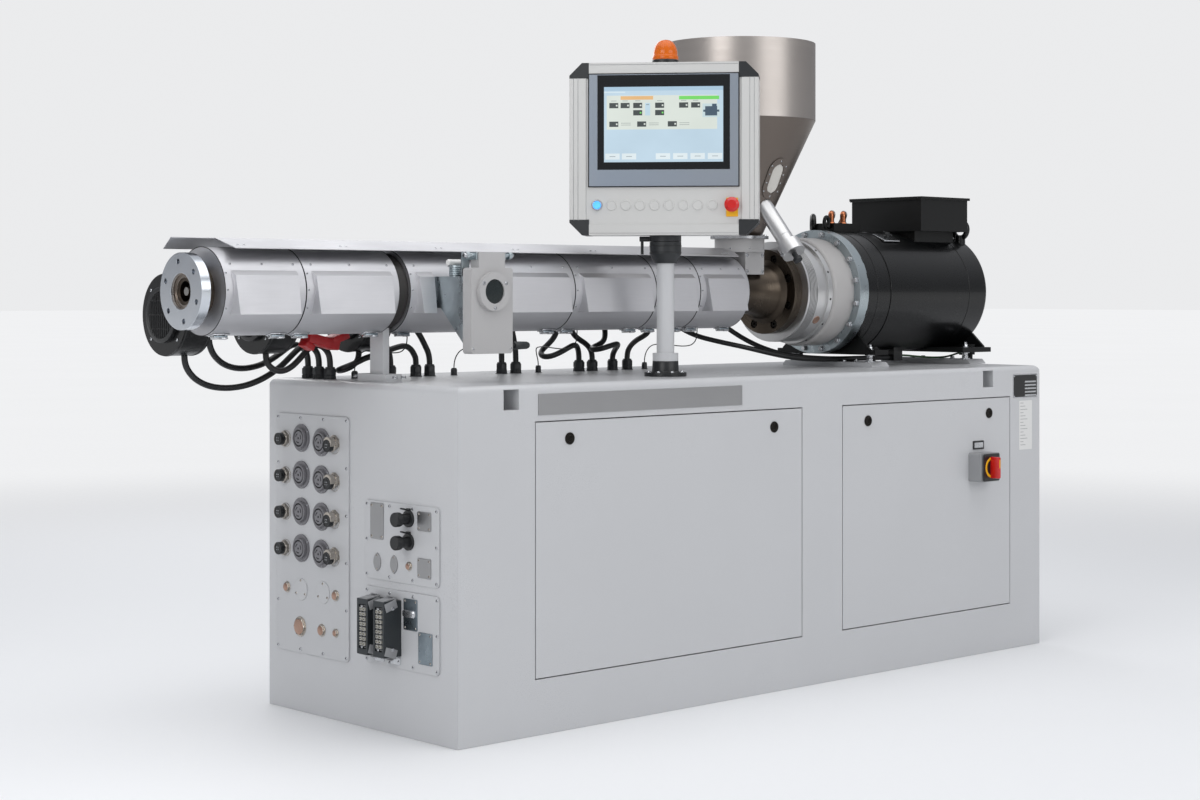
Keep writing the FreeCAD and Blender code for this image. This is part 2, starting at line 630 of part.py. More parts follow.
def makeBarrelSupport():
    gapStart = [s for w, s, l in zoneSpans() if w == "supportGap"][0]
    middle = f"({gapStart} + supportGap / 2)"
    clamp = rod("clampRing", "x", f"{gapStart} + 2", 0, axisZ, "clampRadius", "supportGap - 4")
    post = box("supportPost", f"{middle} - supportPostThickness / 2", "-supportPostWidth / 2",
               top, "supportPostThickness", "supportPostWidth", "axisRise")
    foot = box("supportFoot", f"{middle} - supportFootLength / 2", "-supportFootWidth / 2",
               top, "supportFootLength", "supportFootWidth", "supportFootThickness")
    bore = rod("clampBore", "x", gapStart, 0, axisZ, "barrelRadius", "supportGap")
    node("barrel_support", cut("barrelSupportBody", fuse("supportRaw", [clamp, post, foot]),
                               [bore]))


# Vent unit.

hingeZ = f"({axisZ} + ventHingeRise)"
hingeY = "(-shroudRadius - ventHingeReach)"
chuteY = "(-shroudRadius - chuteReach)"
coverLow = f"({axisZ} - ventCoverDrop)"
coverHigh = f"({axisZ} + ventCoverRise)"
ventLeft = "(ventX - chuteWidth / 2)"
neckLeft = "(ventX - ventNeckWidth / 2)"


def chuteOutline(inset):
    return [
        ("-shroudRadius * 0.8", f"chuteRise - {inset}"),
        ("-shroudRadius - chuteReach", f"chuteRise - {inset}"),
        ("-shroudRadius - chuteReach", f"-chuteFloorDrop + 1.4 * {inset}"),
        ("-shroudRadius - hoodBottomReach", f"-chuteLipDrop + {inset}"),
        ("-shroudRadius * 0.8", f"-chuteLipDrop + {inset}"),
    ]


def makeVentChute():
    outer = slab("chuteOuter", "YZ", ventLeft, 0, axisZ, chuteOutline("0"), "chuteWidth")
    inner = slab("chuteInner", "YZ", f"{ventLeft} + chuteWall", 0, axisZ,
                 chuteOutline("chuteWall"), "chuteWidth - 2 * chuteWall")
    shroud = rod("chuteSeat", "x", ventLeft, 0, axisZ, "shroudRadius", "chuteWidth")
    node("vent_chute", cut("ventChuteBody", outer, [inner, shroud]))
    # Two fixed lugs stand on the chute's roof and carry the pin that the cover hangs on.
    lugs = []
    for i, x in enumerate((f"{neckLeft} - ventLugGap - ventLugThickness",
                           f"{neckLeft} + ventNeckWidth + ventLugGap")):
        lugs.append(box(f"ventLug{i}", x, f"{hingeY} - ventLugTop - 3",
                        f"{hingeZ} - ventLugTop - 3", "ventLugThickness",
                        f"ventLugTop * 2 + 6 + {chuteY} - {hingeY}", "ventLugTop * 2 + 3"))
    backs = []
    for i, x in enumerate((ventLeft, f"{neckLeft} + ventNeckWidth + ventLugGap")):
        backs.append(box(f"ventLugBack{i}", x, f"{chuteY} + 4", f"{axisZ} + chuteRise",
                         "(chuteWidth - ventNeckWidth) / 2 - ventLugGap",
                         "ventLugThickness",
                         f"{hingeZ} + ventLugTop - {axisZ} - chuteRise"))
    pin = rod("ventPin", "x", f"{ventLeft} + 2", hingeY, hingeZ,
              "ventPinRadius", "chuteWidth - 4")
    heads = [rod(f"ventPinHead{i}", "x", x, hingeY, hingeZ, "ventPinHead", "ventPinHead")
             for i, x in enumerate((f"{ventLeft} - 6", f"{ventLeft} + chuteWidth - 4"))]
    node("vent_hinge", fuse("ventHingeBody", lugs + backs + heads + [pin]))


def makeVentCover():
    tray = box("coverTray", ventLeft, f"{chuteY} - ventCoverDepth", coverLow,
               "chuteWidth", "ventCoverDepth", f"{coverHigh} - {coverLow}")
    smooth = roundEdges("coverTrayRounded", tray, "ventCoverCorner",
                        runsAlong(Vector(0, 1, 0)))
    hollow = box("coverHollow", f"{ventLeft} + ventCoverWall",
                 f"{chuteY} - ventCoverDepth + ventCoverWall", f"{coverLow} + ventCoverWall",
                 "chuteWidth - 2 * ventCoverWall", "ventCoverDepth - ventCoverWall",
                 f"{coverHigh} - {coverLow} - 2 * ventCoverWall")
    neck = box("coverNeck", neckLeft, f"{chuteY} - ventCoverDepth", f"{coverHigh} - 2",
               "ventNeckWidth", "ventCoverDepth", f"{hingeZ} + ventLugTop - {coverHigh} + 2")
    ring = rod("sightRing", "-y", "ventX", f"{chuteY} - ventCoverDepth", axisZ,
               "sightRingRadius", "sightRingThickness")
    sight = rod("sightHole", "-y", "ventX", chuteY, axisZ, "sightGlassRadius",
                "ventCoverDepth + sightRingThickness")
    pinHole = rod("coverPinHole", "x", neckLeft, hingeY, hingeZ,
                  "ventPinRadius + ventPinClearance", "ventNeckWidth")
    shell = cut("coverShell", smooth, [hollow])
    node("vent_cover", cut("ventCoverBody", fuse("coverRaw", [shell, neck, ring]),
                           [sight, pinHole]))
    node("sight_glass", rod("sightDisc", "-y", "ventX", f"{chuteY} - ventCoverDepth", axisZ,
                            "sightGlassRadius", "sightRingThickness - 4"))
    handleY = f"{chuteY} - ventCoverDepth / 2"
    handleX = f"{ventLeft} + chuteWidth"
    stem = rod("handleStem", "x", handleX, handleY, f"{coverLow} + handleRise",
               "handleStemRadius", "handleStemLength + 5")
    grip = rod("handleGrip", "x", f"{handleX} + handleStemLength", handleY,
               f"{coverLow} + handleRise", "handleRadius", "handleLength")
    node("vent_handle", fuse("ventHandleBody", [stem, grip]))


# Feed and hopper.

def makeFeed():
    block = box("throatBlock", "feedX - throatLength / 2", "-throatWidth / 2",
                f"{axisZ} + throatBottomRise", "throatLength", "throatWidth",
                "(shroudRadius + throatGap) - throatBottomRise")
    disc = rod("feedDisc", "z", "feedX", 0, f"{axisZ} + (shroudRadius + throatGap)",
               "feedDiscRadius", "feedDiscThickness")
    neck = turned("throatSeat", "x", 0, 0, axisZ, [
        ("feedFlangeX", 0), ("feedFlangeX", "neckRimRadius"),
        ("feedFlangeX - neckRimLength", "neckRimRadius"),
        (f"{neckStart} + neckCollarLength", "neckWaistRadius", "240"),
        (f"{neckStart} + neckCollarLength", "neckCollarRadius"),
        (neckStart, "neckCollarRadius"), (neckStart, 0),
    ])
    inlet = turned("throatInlet", "z", "feedX", 0, axisZ, [
        (0, 0), (0, "throatBoreRadius"), ("(shroudRadius + throatGap)", "throatBoreRadius"),
        ("(shroudRadius + throatGap) + feedDiscThickness", "hopperNeckRadius - hopperWall"),
        ("(shroudRadius + throatGap) + feedDiscThickness", 0),
    ])
    node("feed_throat", cut("feedThroatBody", block, [neck, inlet]))
    node("feed_disc", cut("feedDiscBody", disc, [inlet]))


def makeHopper():
    rise = "hopperFlangeThickness"
    node("hopper", turned("hopperShell", "z", "feedX", 0, hopperBase, [
        (0, "hopperNeckRadius - hopperWall"), (0, "hopperFlangeRadius"),
        (rise, "hopperFlangeRadius"), (rise, "hopperNeckRadius"),
        (f"{rise} + hopperConeHeight", "hopperRadius"),
        (f"{rise} + hopperConeHeight + hopperHeight", "hopperRadius"),
        (f"{rise} + hopperConeHeight + hopperHeight", "hopperRadius - hopperWall"),
        (f"{rise} + hopperConeHeight", "hopperRadius - hopperWall"),
        (rise, "hopperNeckRadius - hopperWall"),
    ]))


def coneSolid(name):
    return cone(name, "z", "feedX", 0, coneBase, "hopperNeckRadius", "hopperRadius",
                "hopperConeHeight")


def makeDischarge():
    # The emptying pipe leaves the cone towards the operator and ends in a capped collar.
    lean = Rotation(Vector(1, 0, 0), 90 + number("dischargeAngle"))
    along = lean.multVec(Vector(0, 0, 1))
    rise = number("dischargeRise")
    radius = number("hopperNeckRadius + (hopperRadius - hopperNeckRadius)"
                    " * dischargeRise / hopperConeHeight")
    start = Vector(number("feedX"), -radius, number(coneBase) + rise)
    length = number("dischargeLength")

    def onPipe(name, radiusText, distance, pieceLength):
        piece = doc.addObject("Part::Cylinder", name)
        bind(piece, Radius=radiusText, Height=pieceLength)
        piece.Placement = Placement(start + along * distance, lean)
        return piece

    inside = number("2 * dischargeRadius")
    pipe = onPipe("dischargeTube", "dischargeRadius", -inside,
                  "dischargeLength + 2 * dischargeRadius")
    collar = onPipe("dischargeCollar", "collarRadius", length, "collarLength")
    collarEnd = length + number("collarLength")
    socket = onPipe("knobSocket", "knobStemRadius + knobClearance",
                    collarEnd - number("knobStemLength - 6"), "knobStemLength")
    node("discharge_pipe", cut("dischargeBody", fuse("dischargeRaw", [pipe, collar]),
                               [coneSolid("dischargeSeat"), socket]))
    gap = 1
    stem = onPipe("knobStem", "knobStemRadius", collarEnd - number("knobStemLength - 8"),
                  "knobStemLength - 4")
    neck = onPipe("knobNeck", "knobBodyRadius", collarEnd + gap, "knobBodyLength")
    head = onPipe("knobHead", "knobRadius", collarEnd + gap + number("knobBodyLength"),
                  "knobLength")
    node("pull_knob", fuse("pullKnobBody", [stem, neck, head]))
    print("discharge direction", [round(v, 5) for v in along], "collar end",
          [round(v, 3) for v in start + along * collarEnd])


# Drive.

def makeDrive():
    disc = rod("feedFlangeDisc", "x", "feedFlangeX", 0, axisZ,
               "feedFlangeRadius", "feedFlangeThickness")
    bore = rod("feedFlangeBore", "x", "feedFlangeX", 0, axisZ,
               "boreRadius", "feedFlangeThickness")
    holes = ringOfRods("feedBolt", "feedFlangeX", "feedBoltRadius", "feedBoltDepth",
                       "feedBoltCircle", 8, 22.5)
    node("feed_flange", cut("feedFlangeBody", disc, [bore] + holes))
    points = [(0, "boreRadius"), (0, "bearingRadius")]
    for i in range(6):
        start = f"grooveStart + {i} * groovePitch"
        points += [(start, "bearingRadius"), (start, "bearingRadius - grooveDepth"),
                   (f"{start} + grooveWidth", "bearingRadius - grooveDepth"),
                   (f"{start} + grooveWidth", "bearingRadius")]
    stepX = "bearingLength - bearingStepLength"
    points += [(stepX, "bearingRadius"), (stepX, "bearingStepRadius"),
               ("bearingLength", "bearingStepRadius"), ("bearingLength", "0"),
               (f"screwJournalEnd + 3 - {bearingX}", 0),
               (f"screwJournalEnd + 3 - {bearingX}", "boreRadius")]
    node("bearing_housing", turned("bearingBody", "x", bearingX, 0, axisZ, points))
    node("gear_housing", turned("gearBody", "x", gearX, 0, axisZ, [
        (0, 0), (0, "gearRadius - gearCornerRadius"),
        ("gearCornerRadius", "gearRadius", "gearCornerRadius"),
        ("gearLength", "gearRadius"), ("gearLength", 0),
    ]))
    node("motor_flange", rod("motorFlangeDisc", "x", motorFlangeX, 0, axisZ,
                             "motorFlangeRadius", "motorFlangeThickness"))
    deep = "motorRadius - motorSeamDepth"
    rearSeam = "motorLength - motorRearSeam"
    shell = turned("motorShell", "x", motorX, 0, axisZ, [
        (0, 0), (0, "motorRadius"),
        ("motorFrontSeam", "motorRadius"), ("motorFrontSeam", deep),
        ("motorFrontSeam + motorSeamWidth", deep),
        ("motorFrontSeam + motorSeamWidth", "motorRadius"),
        (rearSeam, "motorRadius"), (rearSeam, deep),
        (f"{rearSeam} + motorSeamWidth", deep),
        (f"{rearSeam} + motorSeamWidth", "motorRadius"),
        ("motorLength - motorCorner", "motorRadius"),
        ("motorLength", "motorRadius - motorCorner", "motorCorner"),
        ("motorLength", 0),
    ])
    node("motor_body", fuse("motorBodyParts",
                            [shell] + liftingEyes() + cableEntry() + jacketBosses()))


def motorCylinder(name):
    return rod(name, "x", motorX, 0, axisZ, "motorRadius", "motorLength")


def liftingEyes():
    eyes = []
    for which, x, y, angle in (("front", f"{motorX} + frontEyeX", "frontEyeY", 45),
                               ("rear", f"{motorX} + rearEyeX", "rearEyeY", 90)):
        surface = f"({axisZ} + sqrt(motorRadius * motorRadius - {y} * {y}))"
        eyes.append(rod(f"eyeShank_{which}", "z", x, y, f"{surface} - 20",
                        "eyeShankRadius", "20 + eyeRise - eyeRingRadius + eyeWireRadius"))
        ring = doc.addObject("Part::Torus", f"eyeRing_{which}")
        bind(ring, Radius1="eyeRingRadius", Radius2="eyeWireRadius")
        ring.Placement = Placement(Vector(0, 0, 0),
                                   Rotation(Vector(0, 0, 1), angle).multiply(turns["y"]))
        eyes.append(place(ring, x, y, f"{surface} + eyeRise"))
    return eyes


def makeMotorFittings():
    boxX = f"({motorX} + motorLength - terminalInset - terminalLength)"
    body = box("terminalBody", boxX, "-terminalWidth / 2", f"{axisZ} + terminalBase",
               "terminalLength", "terminalWidth", "terminalHeight")
    lid = box("terminalLid", f"{boxX} - terminalLidLip", "-terminalWidth / 2 - terminalLidLip",
              f"{axisZ} + terminalBase + terminalHeight", "terminalLength + 2 * terminalLidLip",
              "terminalWidth + 2 * terminalLidLip", "terminalLid")
    saddle = box("terminalSaddle", f"{boxX} + terminalSaddleInset",
                 "-terminalSaddleWidth / 2", f"{axisZ} + motorRadius * 0.8",
                 "terminalLength - 2 * terminalSaddleInset", "terminalSaddleWidth",
                 "terminalBase - motorRadius * 0.8")
    node("terminal_box", cut("terminalBoxBody", fuse("terminalRaw", [body, lid, saddle]),
                             [motorCylinder("terminalSeat")]))
    blockX = f"({motorX} + manifoldX)"
    block = box("manifoldBlock", blockX, "manifoldStart", f"{axisZ} + motorRadius * 0.8",
                "manifoldLength", "manifoldWidth", "manifoldTop - motorRadius * 0.8")
    elbows = []
    for i in range(2):
        rise = rod(f"elbowRise{i}", "z", 0, 0, 0, "elbowRadius", "elbowRise")
        bend = doc.addObject("Part::Torus", f"elbowBend{i}")
        bind(bend, Radius1="elbowBend", Radius2="elbowRadius")
        bend.Placement = Placement(Vector(0, 0, 0), turns["y"])
        place(bend, "elbowBend", 0, "elbowRise")
        corner = box(f"elbowCorner{i}", "-elbowRadius", "-elbowRadius", "elbowRise",
                     "elbowBend + elbowRadius", "2 * elbowRadius", "elbowBend + elbowRadius")
        quarter = common(f"elbowQuarter{i}", bend, corner)
        out = rod(f"elbowOut{i}", "x", "elbowBend", 0, "elbowRise + elbowBend",
                  "elbowRadius", "elbowRadius")
        elbow = fuse(f"elbow{i}", [rise, quarter, out])
        elbow.Placement = Placement(Vector(0, 0, 0), Rotation(Vector(0, 0, 1), 1))
        place(elbow, f"{blockX} + elbowInset + {i} * elbowPitch", "elbowY",
              f"{axisZ} + manifoldTop")
        elbow.setExpression("Placement.Rotation.Angle", bound("elbowAngle"))
        elbows.append(elbow)
    node("water_manifold", cut("manifoldBody", fuse("manifoldRaw", [block] + elbows),
                               [motorCylinder("manifoldSeat")]))


def jacketBosses():
    # The two bosses on the motor's far side where the water hoses end.
    pieces = []
    for i in range(2):
        x = (f"{motorX} + manifoldX + elbowInset + {i} * elbowPitch"
             " + (elbowBend + elbowRadius + 57) * cos(elbowAngle * 1deg)")
        y = "elbowY + (elbowBend + elbowRadius + 57) * sin(elbowAngle * 1deg) + 48"
        pieces.append(rod(f"jacketBoss{i}", "z", x, y, f"{axisZ} + jacketRise - 35",
                          "waterHoseRadius + 3", 35))
    return pieces


def cableEntry():
    # The box under the motor's belly where its two cables and the earth wire end.
    boxX = f"({motorX} + entryX)"
    pieces = [box("entryBox", boxX, "entryStart", f"{top} + entryBottom",
                  "entryLength", "entryWidth", "entryHeight")]
    for i in range(2):
        y = f"entryStart + 16 + {i} * 22"
        pieces.append(rod(f"entryGland{i}", "x", f"{boxX} - 8", y, f"{top} + entryAxis",
                          "motorHoseRadius + 2", 10))
    return pieces


def makeMotorFeet():
    rails, feet = [], []
    places = (("front", "frontRailX", "frontFootX", "frontFootLength", "0"),
              ("rear", "rearRailX", "rearFootX", "rearFootLength",
               "rearFootLength - gussetThickness - 4"))
    for which, railX, footX, footLength, gussetX in places:
        x = f"({motorX} + {railX})"
        rail = slab(f"rail_{which}", "YZ", x, 0, top, [
            ("-railWidth / 2", 0), ("railWidth / 2", 0),
            ("railWidth / 2", "railThickness - railChamfer"),
            ("railWidth / 2 - railChamfer", "railThickness"),
            ("-railWidth / 2 + railChamfer", "railThickness"),
            ("-railWidth / 2", "railThickness - railChamfer")], "railLength")
        rails.append(rail)
        plate = box(f"footPlate_{which}", f"{motorX} + {footX}", "-footPlateWidth / 2", footZ,
                    footLength, "footPlateWidth", "footPlateThickness")
        gusset = slab(f"gusset_{which}", "YZ", f"{motorX} + {footX} + {gussetX}", 0, footZ, [
            ("-gussetOuter", "footPlateThickness / 2"),
            ("gussetOuter", "footPlateThickness / 2"),
            ("gussetOuter", "footPlateThickness + 3"), ("gussetInner", "gussetRise"),
            ("-gussetInner", "gussetRise"), ("-gussetOuter", "footPlateThickness + 3"),
        ], "gussetThickness")
        bolts = []
        if which == "rear":
            bolts.append(box("earthLug", f"{motorX} + earthLugX", "-earthLugY - 6",
                             f"{footZ} - earthLugDrop", 8, 12, "earthLugDrop"))
        for i, y in enumerate(("-jackBoltY", "jackBoltY")):
            boltX = f"({x} + railLength / 2)"
            bolts.append(rod(f"jackBolt_{which}{i}", "z", boltX, y, f"{top} + railThickness",
                             "jackBoltRadius", "footPlateGap + footPlateThickness + 4"))
            bolts.append(hexagon(f"jackNut_{which}{i}", "z", boltX, y,
                                 f"{footZ} - jackNutHeight", "jackNutRadius", "jackNutHeight"))
            bolts.append(hexagon(f"jackHead_{which}{i}", "z", boltX, y,
                                 f"{footZ} + footPlateThickness", "jackNutRadius",
                                 "jackNutHeight"))
        feet.append(cut(f"foot_{which}", fuse(f"footRaw_{which}", [plate, gusset] + bolts),
                        [motorCylinder(f"footMotorSeat_{which}")]))
    node("motor_rails", group("railPair", rails))
    node("motor_feet", group("footPair", feet))


# Operator panel.

def makePost():
    base = rod("postFlange", "z", "postX", "postY", top, "postBaseRadius",
               "postBaseThickness")
    sleeve = rod("postSleeve", "z", "postX", "postY", f"{top} + postBaseThickness",
                 "postSleeveRadius", "postSleeveHeight")
    tubePiece = rod("postTube", "z", "postX", "postY", top, "postRadius", "couplingRise")
    node("panel_post", fuse("panelPostBody", [base, sleeve, tubePiece]))
    node("post_coupling", turned("couplingBody", "z", "postX", "postY", couplingZ, [
        (0, 0), (0, "couplingLowRadius"), ("couplingTaper", "couplingRadius"),
        ("couplingHeight", "couplingRadius"),
        ("couplingHeight", "spigotRadius + spigotClearance"),
        ("couplingHeight - spigotLength - spigotEndGap", "spigotRadius + spigotClearance"),
        ("couplingHeight - spigotLength - spigotEndGap", 0),
    ]))


def makePanel():
    head = rod("swivelDisc", "z", 0, 0, headZ, "couplingRadius", "swivelHeadHeight")
    spigot = rod("swivelSpigot", "z", 0, 0, f"{headZ} - swivelGap - spigotLength",
                 "spigotRadius", "spigotLength + swivelGap")
    node("swivel_head", onPanel(fuse("swivelHeadBody", [head, spigot])))

    block = box("panelBlock", "-panelWidth / 2", "-panelFrontReach", panelZ,
                "panelWidth", "panelDepth", "panelHeight")
    recess = box("panelRecessBox", "-panelWidth / 2 + panelSideBand", "-panelFrontReach",
                 f"{panelZ} + panelTopBand", "panelWidth - 2 * panelSideBand", "panelRecess",
                 "panelHeight - 2 * panelTopBand")
    controlZ = f"({panelZ} + controlRow)"
    stopHole = rod("stopHole", "y", "stopX", "-panelFrontReach", controlZ,
                   "stopStemRadius + stopStemClearance", "stopStemDepth")
    buttonHole = rod("buttonHole", "y", "buttonX", "-panelFrontReach", controlZ,
                     "buttonRadius + buttonClearance", "buttonDepth")
    tools, corners = [recess, stopHole, buttonHole], []
    for i, (sx, sz) in enumerate(((-1, -1), (1, -1), (1, 1), (-1, 1))):
        edgeX = f"{sx} * panelWidth / 2"
        edgeZ = f"(panelHeight / 2 + {sz} * panelHeight / 2)"
        shape = [
            (f"{edgeX} - {sx} * cornerLength", edgeZ),
            (f"{edgeX} - {sx} * cornerChamfer", edgeZ),
            (edgeX, f"{edgeZ} - {sz} * cornerChamfer"),
            (edgeX, f"{edgeZ} - {sz} * cornerHeight"),
            (f"{edgeX} - {sx} * cornerLength", f"{edgeZ} - {sz} * cornerHeight"),
        ]
        corners.append(slab(f"panelCorner{i}", "XZ", 0, "-panelFrontReach", panelZ, shape,
                            "panelDepth"))
        tools.append(box(f"cornerCut{i}",
                         f"{sx} * (panelWidth / 2 - cornerLength / 2) - cornerLength / 2",
                         "-panelFrontReach",
                         f"{panelZ} + {edgeZ} - cornerHeight * (1 + {sz}) / 2",
                         "cornerLength", "panelDepth", "cornerHeight"))
    node("panel_housing", onPanel(cut("panelHousingBody", block, tools)))
    node("panel_corners", onPanel(group("panelCornerSet", corners)))

    bezelZ = f"({panelZ} + bezelBottom)"
    bezel = box("bezelPlate", "-bezelWidth / 2", f"{recessY} - bezelThickness", bezelZ,
                "bezelWidth", "bezelThickness", "bezelHeight")
    glassRoom = box("glassRoom", "-glassWidth / 2", f"{recessY} - bezelThickness",
                    f"{bezelZ} + glassBottom", "glassWidth", "glassThickness", "glassHeight")
    node("screen_bezel", onPanel(cut("screenBezelBody", bezel, [glassRoom])))
    glass = box("glassPlate", "-glassWidth / 2", f"{recessY} - bezelThickness",
                f"{bezelZ} + glassBottom", "glassWidth", "glassThickness", "glassHeight")
    node("screen_glass", onPanel(group("screenGlassBody", [glass])))

    beaconZ = f"({panelZ} + panelHeight)"
    base = rod("beaconFoot", "z", 0, 0, beaconZ, "beaconBaseRadius", "beaconBaseHeight")
    dome = turned("beaconLens", "z", 0, 0, f"{beaconZ} + beaconBaseHeight", [
        (0, 0), (0, "beaconRadius"),
        ("beaconHeight - beaconDomeRadius", "beaconRadius - 4"),
        ("beaconHeight", "beaconRadius - 4 - beaconDomeRadius", "-beaconDomeRadius"),
        ("beaconHeight", 0),
    ])
    node("beacon", onPanel(fuse("beaconBody", [base, dome])))

    headY = f"({recessY} - stopLift)"
    stem = rod("stopStem", "y", "stopX", headY, controlZ, "stopStemRadius", "stopStemLength")
    mushroom = turned("stopHead", "y", "stopX", headY, controlZ, [
        (0, 0), (0, "stopRadius - 2"), ("-3", "stopRadius"),
        ("-stopHeadLength * 0.6", "stopRadius"),
        ("-stopHeadLength", "stopRadius * 0.6"), ("-stopHeadLength", 0),
    ])
    node("emergency_stop", onPanel(fuse("emergencyStopBody", [stem, mushroom])))
    cap = rod("buttonCap", "y", "buttonX", f"{recessY} - buttonLift", controlZ,
              "buttonRadius", "buttonLength")
    node("start_button", onPanel(group("startButtonBody", [cap])))

    # The clamp lever sits on the left of the swivel head, its arm hanging down.
    leverZ = f"({headZ} + leverRise)"
    leverStart = "(-couplingRadius - leverGap)"
    boss = rod("leverBoss", "-x", leverStart, 0, leverZ, "leverBossRadius",
               "leverBossLength")
    arm = rod("leverArm", "-z", f"{leverStart} - leverBossLength + leverBossRadius", 0,
              leverZ, "leverArmRadius", "leverArmLength")
    node("clamp_lever", onPanel(fuse("clampLeverBody", [boss, arm])))


# Main switch.

def makeSwitch():
    x = f"({driveEnd} - switchInset)"
    z = "switchHeight"
    housing = box("switchHousing", f"{x} - switchBoxWidth / 2", f"{front} - switchBoxDepth",
                  f"{z} - switchBoxHeight / 2", "switchBoxWidth", "switchBoxDepth",
                  "switchBoxHeight")
    smooth = roundEdges("switchHousingRounded", housing, "switchBoxCorner",
                        runsAlong(Vector(0, 1, 0)))
    plateY = f"({front} - switchBoxDepth - switchPlateThickness)"
    plate = box("switchPlate", f"{x} - switchPlateSize / 2", plateY,
                f"{z} - switchPlateSize / 2", "switchPlateSize", "switchPlateThickness",
                "switchPlateSize")
    bore = rod("switchBore", "y", x, plateY, z, "switchStemRadius + switchStemClearance",
               "switchStemDepth + 2")
    node("switch_box", cut("switchBoxBody", fuse("switchBoxRaw", [smooth, plate]), [bore]))
    dialY = f"({plateY} - switchDialGap)"
    stem = rod("switchStem", "y", x, dialY, z, "switchStemRadius",
               "switchStemDepth + switchDialGap")
    dial = rod("switchDial", "-y", x, dialY, z, "switchDialRadius", "switchDialThickness")
    grip = box("switchGrip", f"{x} - switchGripWidth / 2", f"{dialY} - switchGripDepth",
               f"{z} - switchGripLength / 2", "switchGripWidth", "switchGripDepth",
               "switchGripLength")
    node("switch_handle", fuse("switchHandleBody", [stem, dial, grip]))


# Screw.

def makeScrew():
    tipX = f"({dieX} + screwTipSetback)"
    coreX = f"({tipX} + screwTipLength)"
    node("screw", turned("screwShaft", "x", 0, 0, axisZ, [
        (tipX, 0), (tipX, "screwTipRadius"), (coreX, "screwCoreRadius"),
        ("screwJournalStart", "screwCoreRadius"),
        ("screwJournalStart", "boreRadius - screwClearance"),
        ("screwJournalEnd", "boreRadius - screwClearance"), ("screwJournalEnd", 0),
    ]))


# Blowers and cables.

# Zone blowers: distance of the impeller's die-side face from the zone's start, and size.
bigBlowers = {"zoneOne": 31, "zoneTwo": 58, "zoneThree": 36}
smallBlowers = {"zoneFour": 199, "zoneFive": 184, "zoneSix": 9, "zoneSeven": 64}
turnedBlowers = ["zoneFive"]


def makeBlowers():
    made = []
    for word, start, length in zoneSpans():
        if word == "supportGap":
            continue
        big = word in bigBlowers
        offset = bigBlowers[word] if big else smallBlowers[word]
        radius = "blowerRadius" if big else "smallBlowerRadius"
        drop = "blowerDrop" if big else "smallBlowerDrop"
        x = f"({start} + {offset})"
        y = f"(shroudRadius + {radius} + blowerGap)"
        z = f"({axisZ} - {drop})"
        casing = rod(f"blowerCase_{word}", "x", x, y, z, radius, "blowerWidth")
        inletEnd, motorEnd = (x, f"{x} + blowerWidth")
        inletWay, motorWay = ("-x", "x")
        if word in turnedBlowers:
            inletEnd, motorEnd = motorEnd, inletEnd
            inletWay, motorWay = motorWay, inletWay
        inlet = rod(f"blowerInlet_{word}", inletWay, inletEnd, y, z, f"{radius} * 0.6",
                    "blowerInletLength")
        motor = rod(f"blowerMotor_{word}", motorWay, motorEnd, y, z, f"{radius} * 0.44",
                    "blowerMotorLength")
        duct = box(f"blowerDuct_{word}", f"{x} + 10", "shroudRadius - 25",
                   f"{axisZ} - ductHeight / 2 - 5", "blowerWidth - 20", "ductReach",
                   "ductHeight")
        seat = rod(f"blowerSeat_{word}", "x", start, 0, axisZ, "shroudRadius", length)
        made.append(cut(f"blower_{word}",
                        fuse(f"blowerRaw_{word}", [casing, inlet, motor, duct]), [seat]))
    node("zone_blowers", group("blowerSet", made))


# Gland centres on the cabinet's top.
hoseGlands = [(-1113, 300), (-1113, 250), (-1113, 200), (-916, 200), (-830, 200), (-783, 200),
              (-527, 200), (-475, 200), (-235, 200), (-183, 200), (-102, 200), (-43, 200)]
wireGlands = [(-1034, 200), (-698, 200), (-391, 200), (28, 200)]


def makeGlands():
    made = []
    for i, (x, y) in enumerate(hoseGlands):
        made.append(fuse(f"gland{i}", [
            hexagon(f"glandNut{i}", "z", x, y, top, "glandNutRadius", "glandNutHeight"),
            rod(f"glandBody{i}", "z", x, y, top, "glandRadius", "glandHeight")]))
    for i, (x, y) in enumerate(wireGlands):
        made.append(rod(f"wireGland{i}", "z", x, y, top,
                        "smallGlandRadius", "smallGlandHeight"))
    node("cable_glands", group("glandSet", made))


def tube(name, points, radius):
    # A hose along straight runs joined by tangent arcs as large as the runs allow.
    route = [Vector(*p) for p in points]
    edges = []
    tightest = None
    start = route[0]
    for i in range(1, len(route) - 1):
        before = route[i] - route[i - 1]
        after = route[i + 1] - route[i]
        turn = before.getAngle(after)
        setback = 0.45 * min(before.Length, after.Length)
        bend = setback / math.tan(turn / 2)
        tightest = bend if tightest is None else min(tightest, bend)
        into = Vector(before).normalize()
        out = Vector(after).normalize()
        first = route[i] - into * setback
        last = route[i] + out * setback
        centre = route[i] + (out - into).normalize() * (bend / math.cos(turn / 2))
        middle = centre + (route[i] - centre).normalize() * bend
        edges.append(Part.LineSegment(start, first).toShape())
        edges.append(Part.Arc(first, middle, last).toShape())
        start = last
    edges.append(Part.LineSegment(start, route[-1]).toShape())
    path = Part.Wire(edges)
    ring = Part.Wire([Part.Circle(route[0], route[1] - route[0], radius).toShape()])
    shape = path.makePipeShell([ring], True, False)
    piece = doc.addObject("Part::Feature", name + "Tube")
    piece.Shape = shape
    piece.Placement = Placement()
    share = shape.Volume / (math.pi * radius * radius * path.Length)
    print(f"{name}: length {path.Length:.1f}, tightest arc {tightest:.1f}, "
          f"volume against section by length {share:.4f}")
    return piece


